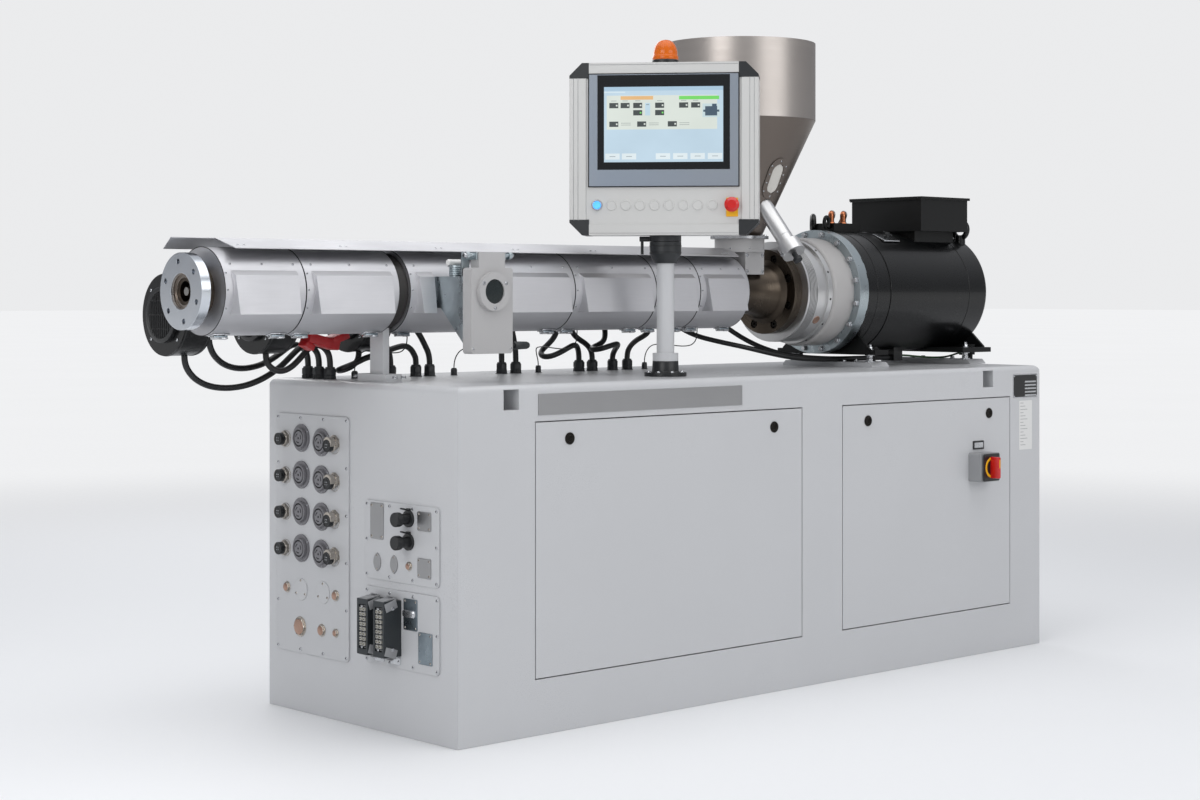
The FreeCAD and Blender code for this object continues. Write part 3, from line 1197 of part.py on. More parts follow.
glandTop = number(f"{top} + glandHeight")
hoseRoutes = {
    "zone_one_hoses": [
        [(-1543, 217, 940), (-1543, 217, 923), (-1530, 218, 898), (-1503, 220, 875),
         (-1460, 224, 859), (-1404, 229, 854), (-1346, 234, 860), (-1291, 239, 877),
         (-1241, 243, 903), (-1202, 246, 934), (-1173, 248, 956), (-1148, 249, 959),
         (-1125, 250, 948), (-1113, 250, 926), (-1113, 250, glandTop)],
        [(-1472, 217, 997), (-1472, 218, 983), (-1466, 222, 960), (-1446, 232, 935),
         (-1406, 248, 912), (-1352, 264, 901), (-1292, 277, 905), (-1242, 287, 920),
         (-1199, 294, 942), (-1170, 298, 959), (-1146, 300, 960), (-1125, 300, 948),
         (-1113, 300, 926), (-1113, 300, glandTop)],
    ],
    "zone_two_hoses": [
        [(-1302, 217, 940), (-1302, 217, 922), (-1289, 212, 902), (-1263, 207, 893),
         (-1234, 203, 903), (-1206, 200, 928), (-1184, 199, 951), (-1161, 199, 962),
         (-1138, 199, 957), (-1121, 200, 943), (-1113, 200, 923), (-1113, 200, glandTop)],
        [(-926, 217, 997), (-926, 217, 978), (-922, 210, 952), (-916, 200, 926),
         (-916, 200, glandTop)],
    ],
    "zone_three_hoses": [
        [(-1008, 217, 940), (-1008, 217, 923), (-1019, 223, 904), (-1042, 228, 894),
         (-1066, 224, 891), (-1083, 207, 893), (-1083, 185, 899), (-1067, 171, 907),
         (-1043, 169, 916), (-1020, 173, 924), (-985, 177, 931), (-945, 181, 941),
         (-905, 186, 951), (-873, 192, 955), (-849, 197, 945), (-834, 200, 927),
         (-830, 200, 916), (-830, 200, glandTop)],
        [(-910, 217, 1042), (-890, 217, 1042), (-862, 215, 1034), (-836, 211, 1013),
         (-814, 206, 985), (-797, 203, 955), (-783, 200, 926), (-783, 200, glandTop)],
    ],
    "zone_four_hoses": [
        [(-538, 193, 1010), (-538, 193, 988), (-534, 196, 960), (-527, 200, 932),
         (-527, 200, glandTop)],
        [(-500, 193, 1053.6), (-500, 193, 1028), (-495, 194, 996), (-484, 197, 964),
         (-475, 200, 932), (-475, 200, glandTop)],
    ],
    "zone_five_hoses": [
        [(-325, 193, 1010), (-325, 193, 991), (-331, 199, 969), (-348, 207, 949),
         (-370, 207, 934), (-387, 195, 922), (-392, 174, 915), (-379, 156, 917),
         (-353, 149, 927), (-323, 153, 938), (-293, 164, 946), (-265, 179, 946),
         (-245, 193, 935), (-235, 200, 917), (-235, 200, glandTop)],
        [(-272, 193, 1010), (-272, 193, 994), (-260, 194, 975), (-237, 195, 961),
         (-212, 197, 950), (-193, 199, 936), (-183, 200, 918), (-183, 200, glandTop)],
    ],
    "zone_six_hoses": [
        [(-140, 193, 1010), (-140, 193, 995), (-144, 186, 974), (-158, 177, 957),
         (-181, 172, 947), (-206, 170, 940), (-225, 158, 935), (-229, 137, 933),
         (-215, 121, 937), (-190, 116, 944), (-161, 122, 949), (-136, 140, 947),
         (-117, 164, 940), (-105, 187, 929), (-102, 200, 914), (-102, 200, glandTop)],
        [(45, 193, 1010), (45, 193, 995), (36, 194, 977), (15, 195, 966),
         (-9, 197, 956), (-30, 199, 941), (-43, 200, 921), (-43, 200, glandTop)],
    ],
}
motorRoutes = {
    "motor_cables": ("motorHoseRadius", [
        [(130, 193, 1053.6), (130, 193, 1030), (138, 172, 996), (164, 122, 968),
         (210, 64, 950), (268, 14, 934), (334, -10, 918), (404, -26, 904),
         (476, -38, 896), (556, -44, 893), (640, -47, 893), (730, -49, 893),
         (800, -50, 893), (854, -50, 893)],
        [(159, 193, 1088), (194, 193, 1088), (244, 188, 1064), (292, 170, 1022),
         (340, 138, 978), (388, 100, 942), (440, 60, 916), (496, 20, 902),
         (560, -8, 896), (632, -20, 893), (720, -26, 893), (800, -28, 893),
         (854, -28, 893)],
    ]),
    "earth_wire": ("earthRadius", [
        [(904, -50, 899), (936, -50, 899), (984, -60, 894), (1036, -73, 890),
         (1092, -85, 890), (1130, -91, 897), (1151, -92, 902), (1167, -92, 902)],
    ]),
}


def waterRoutes():
    # From each elbow's mouth, over the block's far edge and down behind it to the motor.
    turn = math.radians(number("elbowAngle"))
    forward = Vector(math.cos(turn), math.sin(turn), 0)
    reach = number("elbowBend + elbowRadius")
    mouthZ = number(f"{axisZ} + manifoldTop + elbowRise + elbowBend")
    jacketTop = number(f"{axisZ} + jacketRise")
    routes = []
    for i in range(2):
        mouth = Vector(number(f"{motorX} + manifoldX + elbowInset + {i} * elbowPitch"),
                       number("elbowY"), mouthZ) + forward * reach
        steps = [(0, 0, 0), (14, 0, 0), (31, 2, -4), (45, 11, -17), (54, 25, -34),
                 (57, 39, -53), (57, 48, -71), (57, 48, jacketTop - mouthZ)]
        routes.append([tuple(mouth + forward * a + Vector(0, b, c)) for a, b, c in steps])
    return routes


def wireRoutes():
    # A thin sensor wire from each small gland over to the lowest line of the shrouds.
    glandEnd = number(f"{top} + smallGlandHeight")
    shroudLow = number(f"{axisZ} - shroudRadius")
    routes = []
    for (x, y), lean in zip(wireGlands, (1, 1, -1.5, 1)):
        routes.append([
            (x, y, glandEnd), (x, y, glandEnd + 13), (x + 6 * lean, y - 2, glandEnd + 34),
            (x + 14 * lean, y - 14, glandEnd + 51), (x + 18 * lean, y - 41, glandEnd + 55),
            (x + 20 * lean, y - 76, glandEnd + 54), (x + 21 * lean, y - 112, glandEnd + 51),
            (x + 21 * lean, y - 148, glandEnd + 50), (x + 21 * lean, y - 178, glandEnd + 54),
            (x + 21 * lean, y - 195, glandEnd + 68), (x + 21 * lean, y - 200, shroudLow - 17),
            (x + 21 * lean, y - 200, shroudLow)])
    return routes


def makeHoses():
    sets = {name: ("hoseRadius", routes) for name, routes in hoseRoutes.items()}
    sets.update(motorRoutes)
    sets["water_hoses"] = ("waterHoseRadius", waterRoutes())
    sets["sensor_wires"] = ("wireRadius", wireRoutes())
    for name, (radius, routes) in sets.items():
        tubes = [tube(f"{name}_{i}", points, number(radius))
                 for i, points in enumerate(routes)]
        node(name, group(name + "Set", tubes))


def writeSteps():
    doc.recompute()
    for item in doc.Objects:
        if "Invalid" in item.State or "Error" in item.State:
            raise RuntimeError(f"{item.Label} failed: {item.State}")
    os.makedirs("parts", exist_ok=True)
    for name, piece in nodes.items():
        shape = piece.Shape
        if shape.isNull() or not shape.isValid() or not shape.Solids:
            raise RuntimeError(f"{name} has no valid solid")
        shape.exportStep(os.path.join("parts", name + ".step"))
    print(len(nodes), "sub-parts written")


makeCabinet()
makePanels()
makeEndPlates()
makeSockets()
makeConnectors()
makeBarrel()
makeShrouds()
makeHeatGuard()
makeBarrelSupport()
makeVentChute()
makeVentCover()
makeFeed()
makeHopper()
makeDischarge()
makeDrive()
makeMotorFittings()
makeMotorFeet()
makePost()
makePanel()
makeSwitch()
makeScrew()
makeBlowers()
makeGlands()
makeHoses()
writeSteps()
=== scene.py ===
import json
import math
import random

import bmesh
import bpy
from mathutils import Matrix, Vector


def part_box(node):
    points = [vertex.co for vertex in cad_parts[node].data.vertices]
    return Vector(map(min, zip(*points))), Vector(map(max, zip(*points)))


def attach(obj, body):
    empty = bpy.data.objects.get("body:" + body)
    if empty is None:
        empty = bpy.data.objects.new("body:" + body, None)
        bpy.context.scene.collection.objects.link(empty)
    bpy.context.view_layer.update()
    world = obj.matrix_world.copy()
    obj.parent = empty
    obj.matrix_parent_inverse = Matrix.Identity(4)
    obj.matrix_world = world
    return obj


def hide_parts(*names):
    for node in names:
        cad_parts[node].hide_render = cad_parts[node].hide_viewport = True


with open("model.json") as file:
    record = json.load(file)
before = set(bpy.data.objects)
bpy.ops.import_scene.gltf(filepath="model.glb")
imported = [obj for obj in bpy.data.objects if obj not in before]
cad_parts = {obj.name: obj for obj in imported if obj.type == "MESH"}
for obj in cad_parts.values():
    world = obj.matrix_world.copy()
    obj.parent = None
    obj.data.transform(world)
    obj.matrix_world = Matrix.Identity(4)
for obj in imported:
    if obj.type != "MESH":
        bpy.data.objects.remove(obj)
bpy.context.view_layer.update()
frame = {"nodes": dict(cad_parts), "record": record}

random.seed(7)
scene = bpy.context.scene
mm = 0.001  # pieces are built in millimetres and shrunk to metres at the end
boxes = {}


def at(node, share, offset=(0, 0, 0)):
    # a place in a CAD part's box, in millimetres, plus an offset
    if node not in boxes:
        boxes[node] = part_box(node)
    low, high = boxes[node]
    return Vector([(low[i] + share[i] * (high[i] - low[i])) / mm + offset[i]
                   for i in range(3)])


# camera first, then the cords
cameraView = {"place": (-4.4025, -4.416, 1.095), "turn": -42.64, "lens": 64.4, "shiftY": -0.0888}
lens = bpy.data.cameras.new("camera")
lens.lens, lens.sensor_width, lens.shift_y = cameraView["lens"], 36, cameraView["shiftY"]
camera = bpy.data.objects.new("camera", lens)
camera.location = cameraView["place"]
camera.rotation_euler = (math.radians(90), 0, math.radians(cameraView["turn"]))
scene.collection.objects.link(camera)
scene.camera = camera

hoses = {"thick": 0.016, "lay": "hanging", "stiffness": "stiff", "finish": "hose_black"}
hoseRoutes = {
    "zone_one_hoses": [
        [(-1.543, 0.217, 0.94), (-1.543, 0.217, 0.923), (-1.53, 0.218, 0.898),
         (-1.503, 0.22, 0.875), (-1.46, 0.224, 0.859), (-1.404, 0.229, 0.854),
         (-1.346, 0.234, 0.86), (-1.291, 0.239, 0.877), (-1.241, 0.243, 0.903),
         (-1.202, 0.246, 0.934), (-1.173, 0.248, 0.956), (-1.148, 0.249, 0.959),
         (-1.125, 0.25, 0.948), (-1.113, 0.25, 0.926), (-1.113, 0.25, 0.902)],
        [(-1.472, 0.217, 0.997), (-1.472, 0.218, 0.983), (-1.466, 0.222, 0.96),
         (-1.446, 0.232, 0.935), (-1.406, 0.248, 0.912), (-1.352, 0.264, 0.901),
         (-1.292, 0.277, 0.905), (-1.242, 0.287, 0.92), (-1.199, 0.294, 0.942),
         (-1.17, 0.298, 0.959), (-1.146, 0.3, 0.96), (-1.125, 0.3, 0.948), (-1.113, 0.3, 0.926),
         (-1.113, 0.3, 0.902)],
    ],
    "zone_two_hoses": [
        [(-1.302, 0.217, 0.94), (-1.302, 0.217, 0.922), (-1.289, 0.212, 0.902),
         (-1.263, 0.207, 0.893), (-1.234, 0.203, 0.903), (-1.206, 0.2, 0.928),
         (-1.184, 0.199, 0.951), (-1.161, 0.199, 0.962), (-1.138, 0.199, 0.957),
         (-1.121, 0.2, 0.943), (-1.113, 0.2, 0.923), (-1.113, 0.2, 0.902)],
        [(-0.926, 0.217, 0.997), (-0.926, 0.217, 0.978), (-0.922, 0.21, 0.952),
         (-0.916, 0.2, 0.926), (-0.916, 0.2, 0.902)],
    ],
    "zone_three_hoses": [
        [(-1.008, 0.217, 0.94), (-1.008, 0.217, 0.923), (-1.019, 0.223, 0.904),
         (-1.042, 0.228, 0.894), (-1.066, 0.224, 0.891), (-1.083, 0.207, 0.893),
         (-1.083, 0.185, 0.899), (-1.067, 0.171, 0.907), (-1.043, 0.169, 0.916),
         (-1.02, 0.173, 0.924), (-0.985, 0.177, 0.931), (-0.945, 0.181, 0.941),
         (-0.905, 0.186, 0.951), (-0.873, 0.192, 0.955), (-0.849, 0.197, 0.945),
         (-0.834, 0.2, 0.927), (-0.83, 0.2, 0.916), (-0.83, 0.2, 0.902)],
        [(-0.91, 0.217, 1.042), (-0.89, 0.217, 1.042), (-0.862, 0.215, 1.034),
         (-0.836, 0.211, 1.013), (-0.814, 0.206, 0.985), (-0.797, 0.203, 0.955),
         (-0.783, 0.2, 0.926), (-0.783, 0.2, 0.902)],
    ],
    "zone_four_hoses": [
        [(-0.538, 0.193, 1.01), (-0.538, 0.193, 0.988), (-0.534, 0.196, 0.96),
         (-0.527, 0.2, 0.932), (-0.527, 0.2, 0.902)],
        [(-0.5, 0.193, 1.0536), (-0.5, 0.193, 1.028), (-0.495, 0.194, 0.996),
         (-0.484, 0.197, 0.964), (-0.475, 0.2, 0.932), (-0.475, 0.2, 0.902)],
    ],
    "zone_five_hoses": [
        [(-0.325, 0.193, 1.01), (-0.325, 0.193, 0.991), (-0.331, 0.199, 0.969),
         (-0.348, 0.207, 0.949), (-0.37, 0.207, 0.934), (-0.387, 0.195, 0.922),
         (-0.392, 0.174, 0.915), (-0.379, 0.156, 0.917), (-0.353, 0.149, 0.927),
         (-0.323, 0.153, 0.938), (-0.293, 0.164, 0.946), (-0.265, 0.179, 0.946),
         (-0.245, 0.193, 0.935), (-0.235, 0.2, 0.917), (-0.235, 0.2, 0.902)],
        [(-0.272, 0.193, 1.01), (-0.272, 0.193, 0.994), (-0.26, 0.194, 0.975),
         (-0.237, 0.195, 0.961), (-0.212, 0.197, 0.95), (-0.193, 0.199, 0.936),
         (-0.183, 0.2, 0.918), (-0.183, 0.2, 0.902)],
    ],
    "zone_six_hoses": [
        [(-0.14, 0.193, 1.01), (-0.14, 0.193, 0.995), (-0.144, 0.186, 0.974),
         (-0.158, 0.177, 0.957), (-0.181, 0.172, 0.947), (-0.206, 0.17, 0.94),
         (-0.225, 0.158, 0.935), (-0.229, 0.137, 0.933), (-0.215, 0.121, 0.937),
         (-0.19, 0.116, 0.944), (-0.161, 0.122, 0.949), (-0.136, 0.14, 0.947),
         (-0.117, 0.164, 0.94), (-0.105, 0.187, 0.929), (-0.102, 0.2, 0.914), (-0.102, 0.2,
                 0.902)],
        [(0.045, 0.193, 1.01), (0.045, 0.193, 0.995), (0.036, 0.194, 0.977), (0.015, 0.195, 0.966),
         (-0.009, 0.197, 0.956), (-0.03, 0.199, 0.941), (-0.043, 0.2, 0.921), (-0.043, 0.2,
                 0.902)],
    ],
    "motor_cables": [
        [(0.13, 0.193, 1.0536), (0.13, 0.193, 1.03), (0.138, 0.172, 0.996), (0.164, 0.122, 0.968),
         (0.21, 0.064, 0.95), (0.268, 0.014, 0.934), (0.334, -0.01, 0.918), (0.404, -0.026, 0.904),
         (0.476, -0.038, 0.896), (0.556, -0.044, 0.893), (0.64, -0.047, 0.893),
         (0.73, -0.049, 0.893), (0.8, -0.05, 0.893), (0.854, -0.05, 0.893)],
        [(0.159, 0.193, 1.088), (0.194, 0.193, 1.088), (0.244, 0.188, 1.064), (0.292, 0.17, 1.022),
         (0.34, 0.138, 0.978), (0.388, 0.1, 0.942), (0.44, 0.06, 0.916), (0.496, 0.02, 0.902),
         (0.56, -0.008, 0.896), (0.632, -0.02, 0.893), (0.72, -0.026, 0.893), (0.8, -0.028, 0.893),
         (0.854, -0.028, 0.893)],
    ],
    "water_hoses": [
        [(0.6885, 0.0393, 1.345), (0.6999, 0.0474, 1.345), (0.7139, 0.0591, 1.341),
         (0.7253, 0.0762, 1.328), (0.7327, 0.0953, 1.311), (0.7352, 0.111, 1.292),
         (0.7352, 0.12, 1.274), (0.7352, 0.12, 1.256)],
    ],
    "earth_wire": [
        [(0.904, -0.05, 0.899), (0.936, -0.05, 0.899), (0.984, -0.06, 0.894),
         (1.036, -0.073, 0.89), (1.092, -0.085, 0.89), (1.13, -0.091, 0.897),
         (1.151, -0.092, 0.902), (1.167, -0.092, 0.902)],
    ],
    "sensor_wires": [
        [(-1.034, 0.2, 0.89), (-1.034, 0.2, 0.903), (-1.028, 0.198, 0.924), (-1.02, 0.186, 0.941),
         (-1.016, 0.159, 0.945), (-1.014, 0.124, 0.944), (-1.013, 0.088, 0.941),
         (-1.013, 0.052, 0.94), (-1.013, 0.022, 0.944), (-1.013, 0.005, 0.958), (-1.013, 0, 0.976),
         (-1.013, 0, 0.993)],
        [(-0.391, 0.2, 0.89), (-0.391, 0.2, 0.903), (-0.4, 0.198, 0.924), (-0.412, 0.186, 0.941),
         (-0.418, 0.159, 0.945), (-0.421, 0.124, 0.944), (-0.4225, 0.088, 0.941),
         (-0.4225, 0.052, 0.94), (-0.4225, 0.022, 0.944), (-0.4225, 0.005, 0.958),
         (-0.4225, 0, 0.976), (-0.4225, 0, 0.993)],
    ],
}
# hoses and wires that repeat a route further along the machine


def movedAlong(route, shift):
    return [(round(x + shift, 4), y, z) for x, y, z in route]


waterRoute, wireRoute = hoseRoutes["water_hoses"][0], hoseRoutes["sensor_wires"][0]
hoseRoutes["water_hoses"].append(movedAlong(waterRoute, 0.056))
hoseRoutes["sensor_wires"].insert(1, movedAlong(wireRoute, 0.336))
hoseRoutes["sensor_wires"].append(movedAlong(wireRoute, 1.062))
cordKinds = {  # what differs from the heater hoses
    "motor_cables": {"thick": 0.015},
    "water_hoses": {"thick": 0.018},
    "earth_wire": {"thick": 0.006, "stiffness": "medium", "finish": "earth_green"},
    "sensor_wires": {"thick": 0.003, "stiffness": "medium"},
}
cords = []
for node, routes in hoseRoutes.items():
    kind = {**hoses, **cordKinds.get(node, {})}
    for i, route in enumerate(routes):
        line = bpy.data.curves.new(f"{node}_{i}", "CURVE")
        line.dimensions = "3D"
        line.bevel_depth = kind["thick"] / 2
        line.bevel_resolution = 6
        line.resolution_u = 8
        spline = line.splines.new("NURBS")
        spline.points.add(len(route) - 1)
        for point, place in zip(spline.points, route):
            point.co = (*place, 1)
        spline.order_u = 3
        spline.use_endpoint_u = True
        cord = bpy.data.objects.new(f"cord_{node}_{i}", line)
        scene.collection.objects.link(cord)
        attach(cord, "machine")
        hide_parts(node)
        bare = line.copy()
        bare.bevel_depth = 0
        measure = bpy.data.objects.new("measure", bare)
        scene.collection.objects.link(measure)
        walked = bpy.data.meshes.new_from_object(measure)
        bpy.data.objects.remove(measure)
        cords.append((cord, kind["finish"]))
print("camera and", len(cords), "cords made")

# materials: shared effects are node groups, and each finish places them with its own values


def linear(*rgb):
    # a tone from 0 to 255 as the renderer's linear colour
    tones = (c / 255 / 12.92 if c < 11 else ((c / 255 + 0.055) / 1.055) ** 2.4 for c in rgb)
    return (*tones, 1.0)


def startGroup(name, wanted, given):
    group = bpy.data.node_groups.new(name, "ShaderNodeTree")
    for label, kind, value in wanted:
        socket = group.interface.new_socket(name=label, in_out="INPUT",
                                            socket_type="NodeSocket" + kind)
        if value is not None:
            socket.default_value = value
    for label, kind in given:
        group.interface.new_socket(name=label, in_out="OUTPUT", socket_type="NodeSocket" + kind)
    return group, group.nodes.new("NodeGroupInput"), group.nodes.new("NodeGroupOutput")


def feedNode(tree, node, feeds):
    for socket, value in feeds:
        if isinstance(value, bpy.types.NodeSocket):
            tree.links.new(value, node.inputs[socket])
        else:
            node.inputs[socket].default_value = value
    return node


def addNode(tree, kind, feeds=(), **settings):
    # a node with its settings, and its inputs given by (socket, value or other socket)
    node = tree.nodes.new("ShaderNode" + kind)
    for word, value in settings.items():
        setattr(node, word, value)
    return feedNode(tree, node, feeds)


def makeGrainGroup():
    group, come, go = startGroup("fineGrain", [
        ("Place", "Vector", None), ("Stretch", "Vector", (1, 1, 1)), ("Size", "Float", 400.0),
        ("Detail", "Float", 3.0)], [("Field", "Float")])
    drawn = addNode(group, "VectorMath", [(0, come.outputs["Place"]), (1,
            come.outputs["Stretch"])],
                    operation="MULTIPLY")
    noise = addNode(group, "TexNoise", [("Vector", drawn.outputs[0]), ("Scale",
            come.outputs["Size"]),
                                        ("Detail", come.outputs["Detail"])])
    group.links.new(noise.outputs["Fac"], go.inputs["Field"])
    return group


def makeTurnedGroup():
    # lathe marks: noise that changes only with the distance from an axis and along it
    group, come, go = startGroup("turnedMarks", [
        ("Place", "Vector", None), ("Centre", "Vector", (0, 0, 0)), ("Along", "Vector", (1, 0, 0)),
        ("Across", "Vector", (0, 1, 1)), ("Pitch", "Float", 900.0)], [("Field", "Float")])
    arm = addNode(group, "VectorMath", [(0, come.outputs["Place"]), (1, come.outputs["Centre"])],
                  operation="SUBTRACT")
    flat = addNode(group, "VectorMath", [(0, arm.outputs[0]), (1, come.outputs["Across"])],
                   operation="MULTIPLY")
    reach = addNode(group, "VectorMath", [(0, flat.outputs[0])], operation="LENGTH")
    way = addNode(group, "VectorMath", [(0, arm.outputs[0]), (1, come.outputs["Along"])],
                  operation="DOT_PRODUCT")
    pair = addNode(group, "CombineXYZ", [("X", reach.outputs["Value"]), ("Y",
            way.outputs["Value"])])
    noise = addNode(group, "TexNoise", [("Vector", pair.outputs[0]), ("Detail", 2.0),
                                        ("Scale", come.outputs["Pitch"])])
    group.links.new(noise.outputs["Fac"], go.inputs["Field"])
    return group


def makeEdgeGroup():
    # rounded edges, and a broken mask along them for wear
    group, come, go = startGroup("wornEdges", [
        ("Place", "Vector", None), ("Reach", "Float", 0.002), ("Patch", "Float", 60.0)],
        [("Mask", "Float"), ("Normal", "Vector")])
    rounded = addNode(group, "Bevel", [("Radius", come.outputs["Reach"])], samples=4)
    surface = addNode(group, "NewGeometry")
    match = addNode(group, "VectorMath", [(0, rounded.outputs[0]), (1, surface.outputs["Normal"])],
                    operation="DOT_PRODUCT")
    noise = addNode(group, "TexNoise", [("Vector", come.outputs["Place"]),
                                        ("Scale", come.outputs["Patch"]), ("Detail", 4.0)])
    bent = addNode(group, "MapRange", [("Value", match.outputs["Value"]), ("From Min", 0.995),
                                       ("From Max", 0.86)])
    broken = addNode(group, "MapRange", [("Value", noise.outputs["Fac"]), ("From Min", 0.35),
                                         ("From Max", 0.7)])
    both = addNode(group, "Math", [(0, bent.outputs[0]), (1, broken.outputs[0])],
                   operation="MULTIPLY")
    group.links.new(both.outputs[0], go.inputs["Mask"])
    group.links.new(rounded.outputs[0], go.inputs["Normal"])
    return group


def makeDustGroup():
    # dust that settles on faces that look up
    group, come, go = startGroup("settledDust", [
        ("Place", "Vector", None), ("Facing", "Vector", None), ("Size", "Float", 18.0)],
        [("Mask", "Float")])
    parts = addNode(group, "SeparateXYZ", [(0, come.outputs["Facing"])])
    up = addNode(group, "MapRange", [("Value", parts.outputs["Z"]), ("From Min", 0.3),
                                     ("From Max", 1.0)])
    noise = addNode(group, "TexNoise", [("Vector", come.outputs["Place"]),
                                        ("Scale", come.outputs["Size"]), ("Detail", 5.0)])
    patch = addNode(group, "MapRange", [("Value", noise.outputs["Fac"]), ("From Min", 0.4),
                                        ("From Max", 0.75)])
    both = addNode(group, "Math", [(0, up.outputs[0]), (1, patch.outputs[0])],
                   operation="MULTIPLY")
    group.links.new(both.outputs[0], go.inputs["Mask"])
    return group


effects = {"grain": makeGrainGroup(), "turned": makeTurnedGroup(), "edges": makeEdgeGroup(),
           "dust": makeDustGroup()}
barrelLine = {"Centre": tuple(at("die_flange", (0, 0.5, 0.5)) * mm), "Along": (1, 0, 0),
              "Across": (0, 1, 1)}
hopperLine = {"Centre": tuple(at("hopper", (0.5, 0.5, 0)) * mm), "Along": (0, 0, 1),
              "Across": (1, 1, 0)}
plain = {"second": 0.06, "drift": 3.0, "rough": (0.3, 0.42), "metallic": 0.0, "size": 500.0,
         "stretch": (1, 1, 1), "bump": 0.03, "depth": 0.0004, "edge": 0.0012, "wear": 0.25,
         "worn": (150, 150, 150), "patch": 45.0, "dust": 0.12, "streak": 0.2, "coat": 0.0, "coatRough": 0.1}


def placeGroup(tree, which, feeds):
    node = tree.nodes.new("ShaderNodeGroup")
    node.node_tree = effects[which]
    return feedNode(tree, node, feeds)


def mixTones(tree, share, amount, first, second):
    # lays the second tone over the first where the share says, up to an amount
    part = addNode(tree, "Math", [(0, share), (1, amount)], operation="MULTIPLY")
    mix = addNode(tree, "Mix", [(0, part.outputs[0]), (6, first), (7, second)], data_type="RGBA")
    return mix.outputs[2]


def makeFinish(name, tone, **own):
    look = {**plain, **own}
    material = bpy.data.materials.new(name)
    material.use_nodes = True
    tree = material.node_tree
    shader = tree.nodes["Principled BSDF"]
    where = addNode(tree, "TexCoord")
    place, facing = where.outputs["Object"], where.outputs["Normal"]
    if "lathe" in look:
        fine = placeGroup(tree, "turned", [("Place", place), *look["lathe"].items(),
                                           ("Pitch", look["size"])])
    else:
        fine = placeGroup(tree, "grain", [("Place", place), ("Stretch", look["stretch"]),
                                          ("Size", look["size"])])
    drift = placeGroup(tree, "grain", [("Place", place), ("Size", look["drift"]),
                                       ("Detail", 5.0)])
    edges = placeGroup(tree, "edges", [("Place", place), ("Reach", look["edge"]),
                                       ("Patch", look["patch"])])
    dust = placeGroup(tree, "dust", [("Place", place), ("Facing", facing)])
    base = linear(*tone)
    darker = tuple(c * (1 - look["second"] * 2) for c in base[:3]) + (1.0,)
    if "other" in look:
        darker = linear(*look["other"])
    colour = mixTones(tree, drift.outputs["Field"], 1.0, base, darker)
    if look["metallic"] > 0.5:
        colour = mixTones(tree, fine.outputs["Field"], look["streak"], colour, darker)
    # below a given height the colour turns to a darker tone: painted shade, used on the hopper cone that
    # faces down away from the lamps
    if "low" in look:
        level = addNode(tree, "SeparateXYZ", [(0, place)])
        paintedShadeBelow = addNode(tree, "MapRange", [("Value", level.outputs["Z"]),
                                           ("From Min", look["low"][0] + 0.001),
                                           ("From Max", look["low"][0] - 0.001)])
        colour = mixTones(tree, paintedShadeBelow.outputs[0], 1.0, colour, linear(*look["low"][1]))
    colour = mixTones(tree, edges.outputs["Mask"], look["wear"], colour, linear(*look["worn"]))
    colour = mixTones(tree, dust.outputs["Mask"], look["dust"], colour, linear(168, 162, 150))
    tree.links.new(colour, shader.inputs["Base Color"])
    low, high = look["rough"]
    mixed = addNode(tree, "Math", [(0, fine.outputs["Field"]), (1, drift.outputs["Field"])],
                    operation="ADD")
    rough = addNode(tree, "MapRange", [("Value", mixed.outputs[0]), ("From Min", 0.7),
                                       ("From Max", 1.3), ("To Min", low), ("To Max", high)])
    tree.links.new(rough.outputs[0], shader.inputs["Roughness"])
    bump = addNode(tree, "Bump", [("Strength", look["bump"]), ("Distance", look["depth"]),
                                  ("Height", fine.outputs["Field"]),
                                  ("Normal", edges.outputs["Normal"])])
    tree.links.new(bump.outputs[0], shader.inputs["Normal"])
    shader.inputs["Metallic"].default_value = look["metallic"]
    shader.inputs["Coat Weight"].default_value = look["coat"]
    shader.inputs["Coat Roughness"].default_value = look["coatRough"]
    for word, value in look.get("shader", {}).items():
        shader.inputs[word].default_value = value
    return material


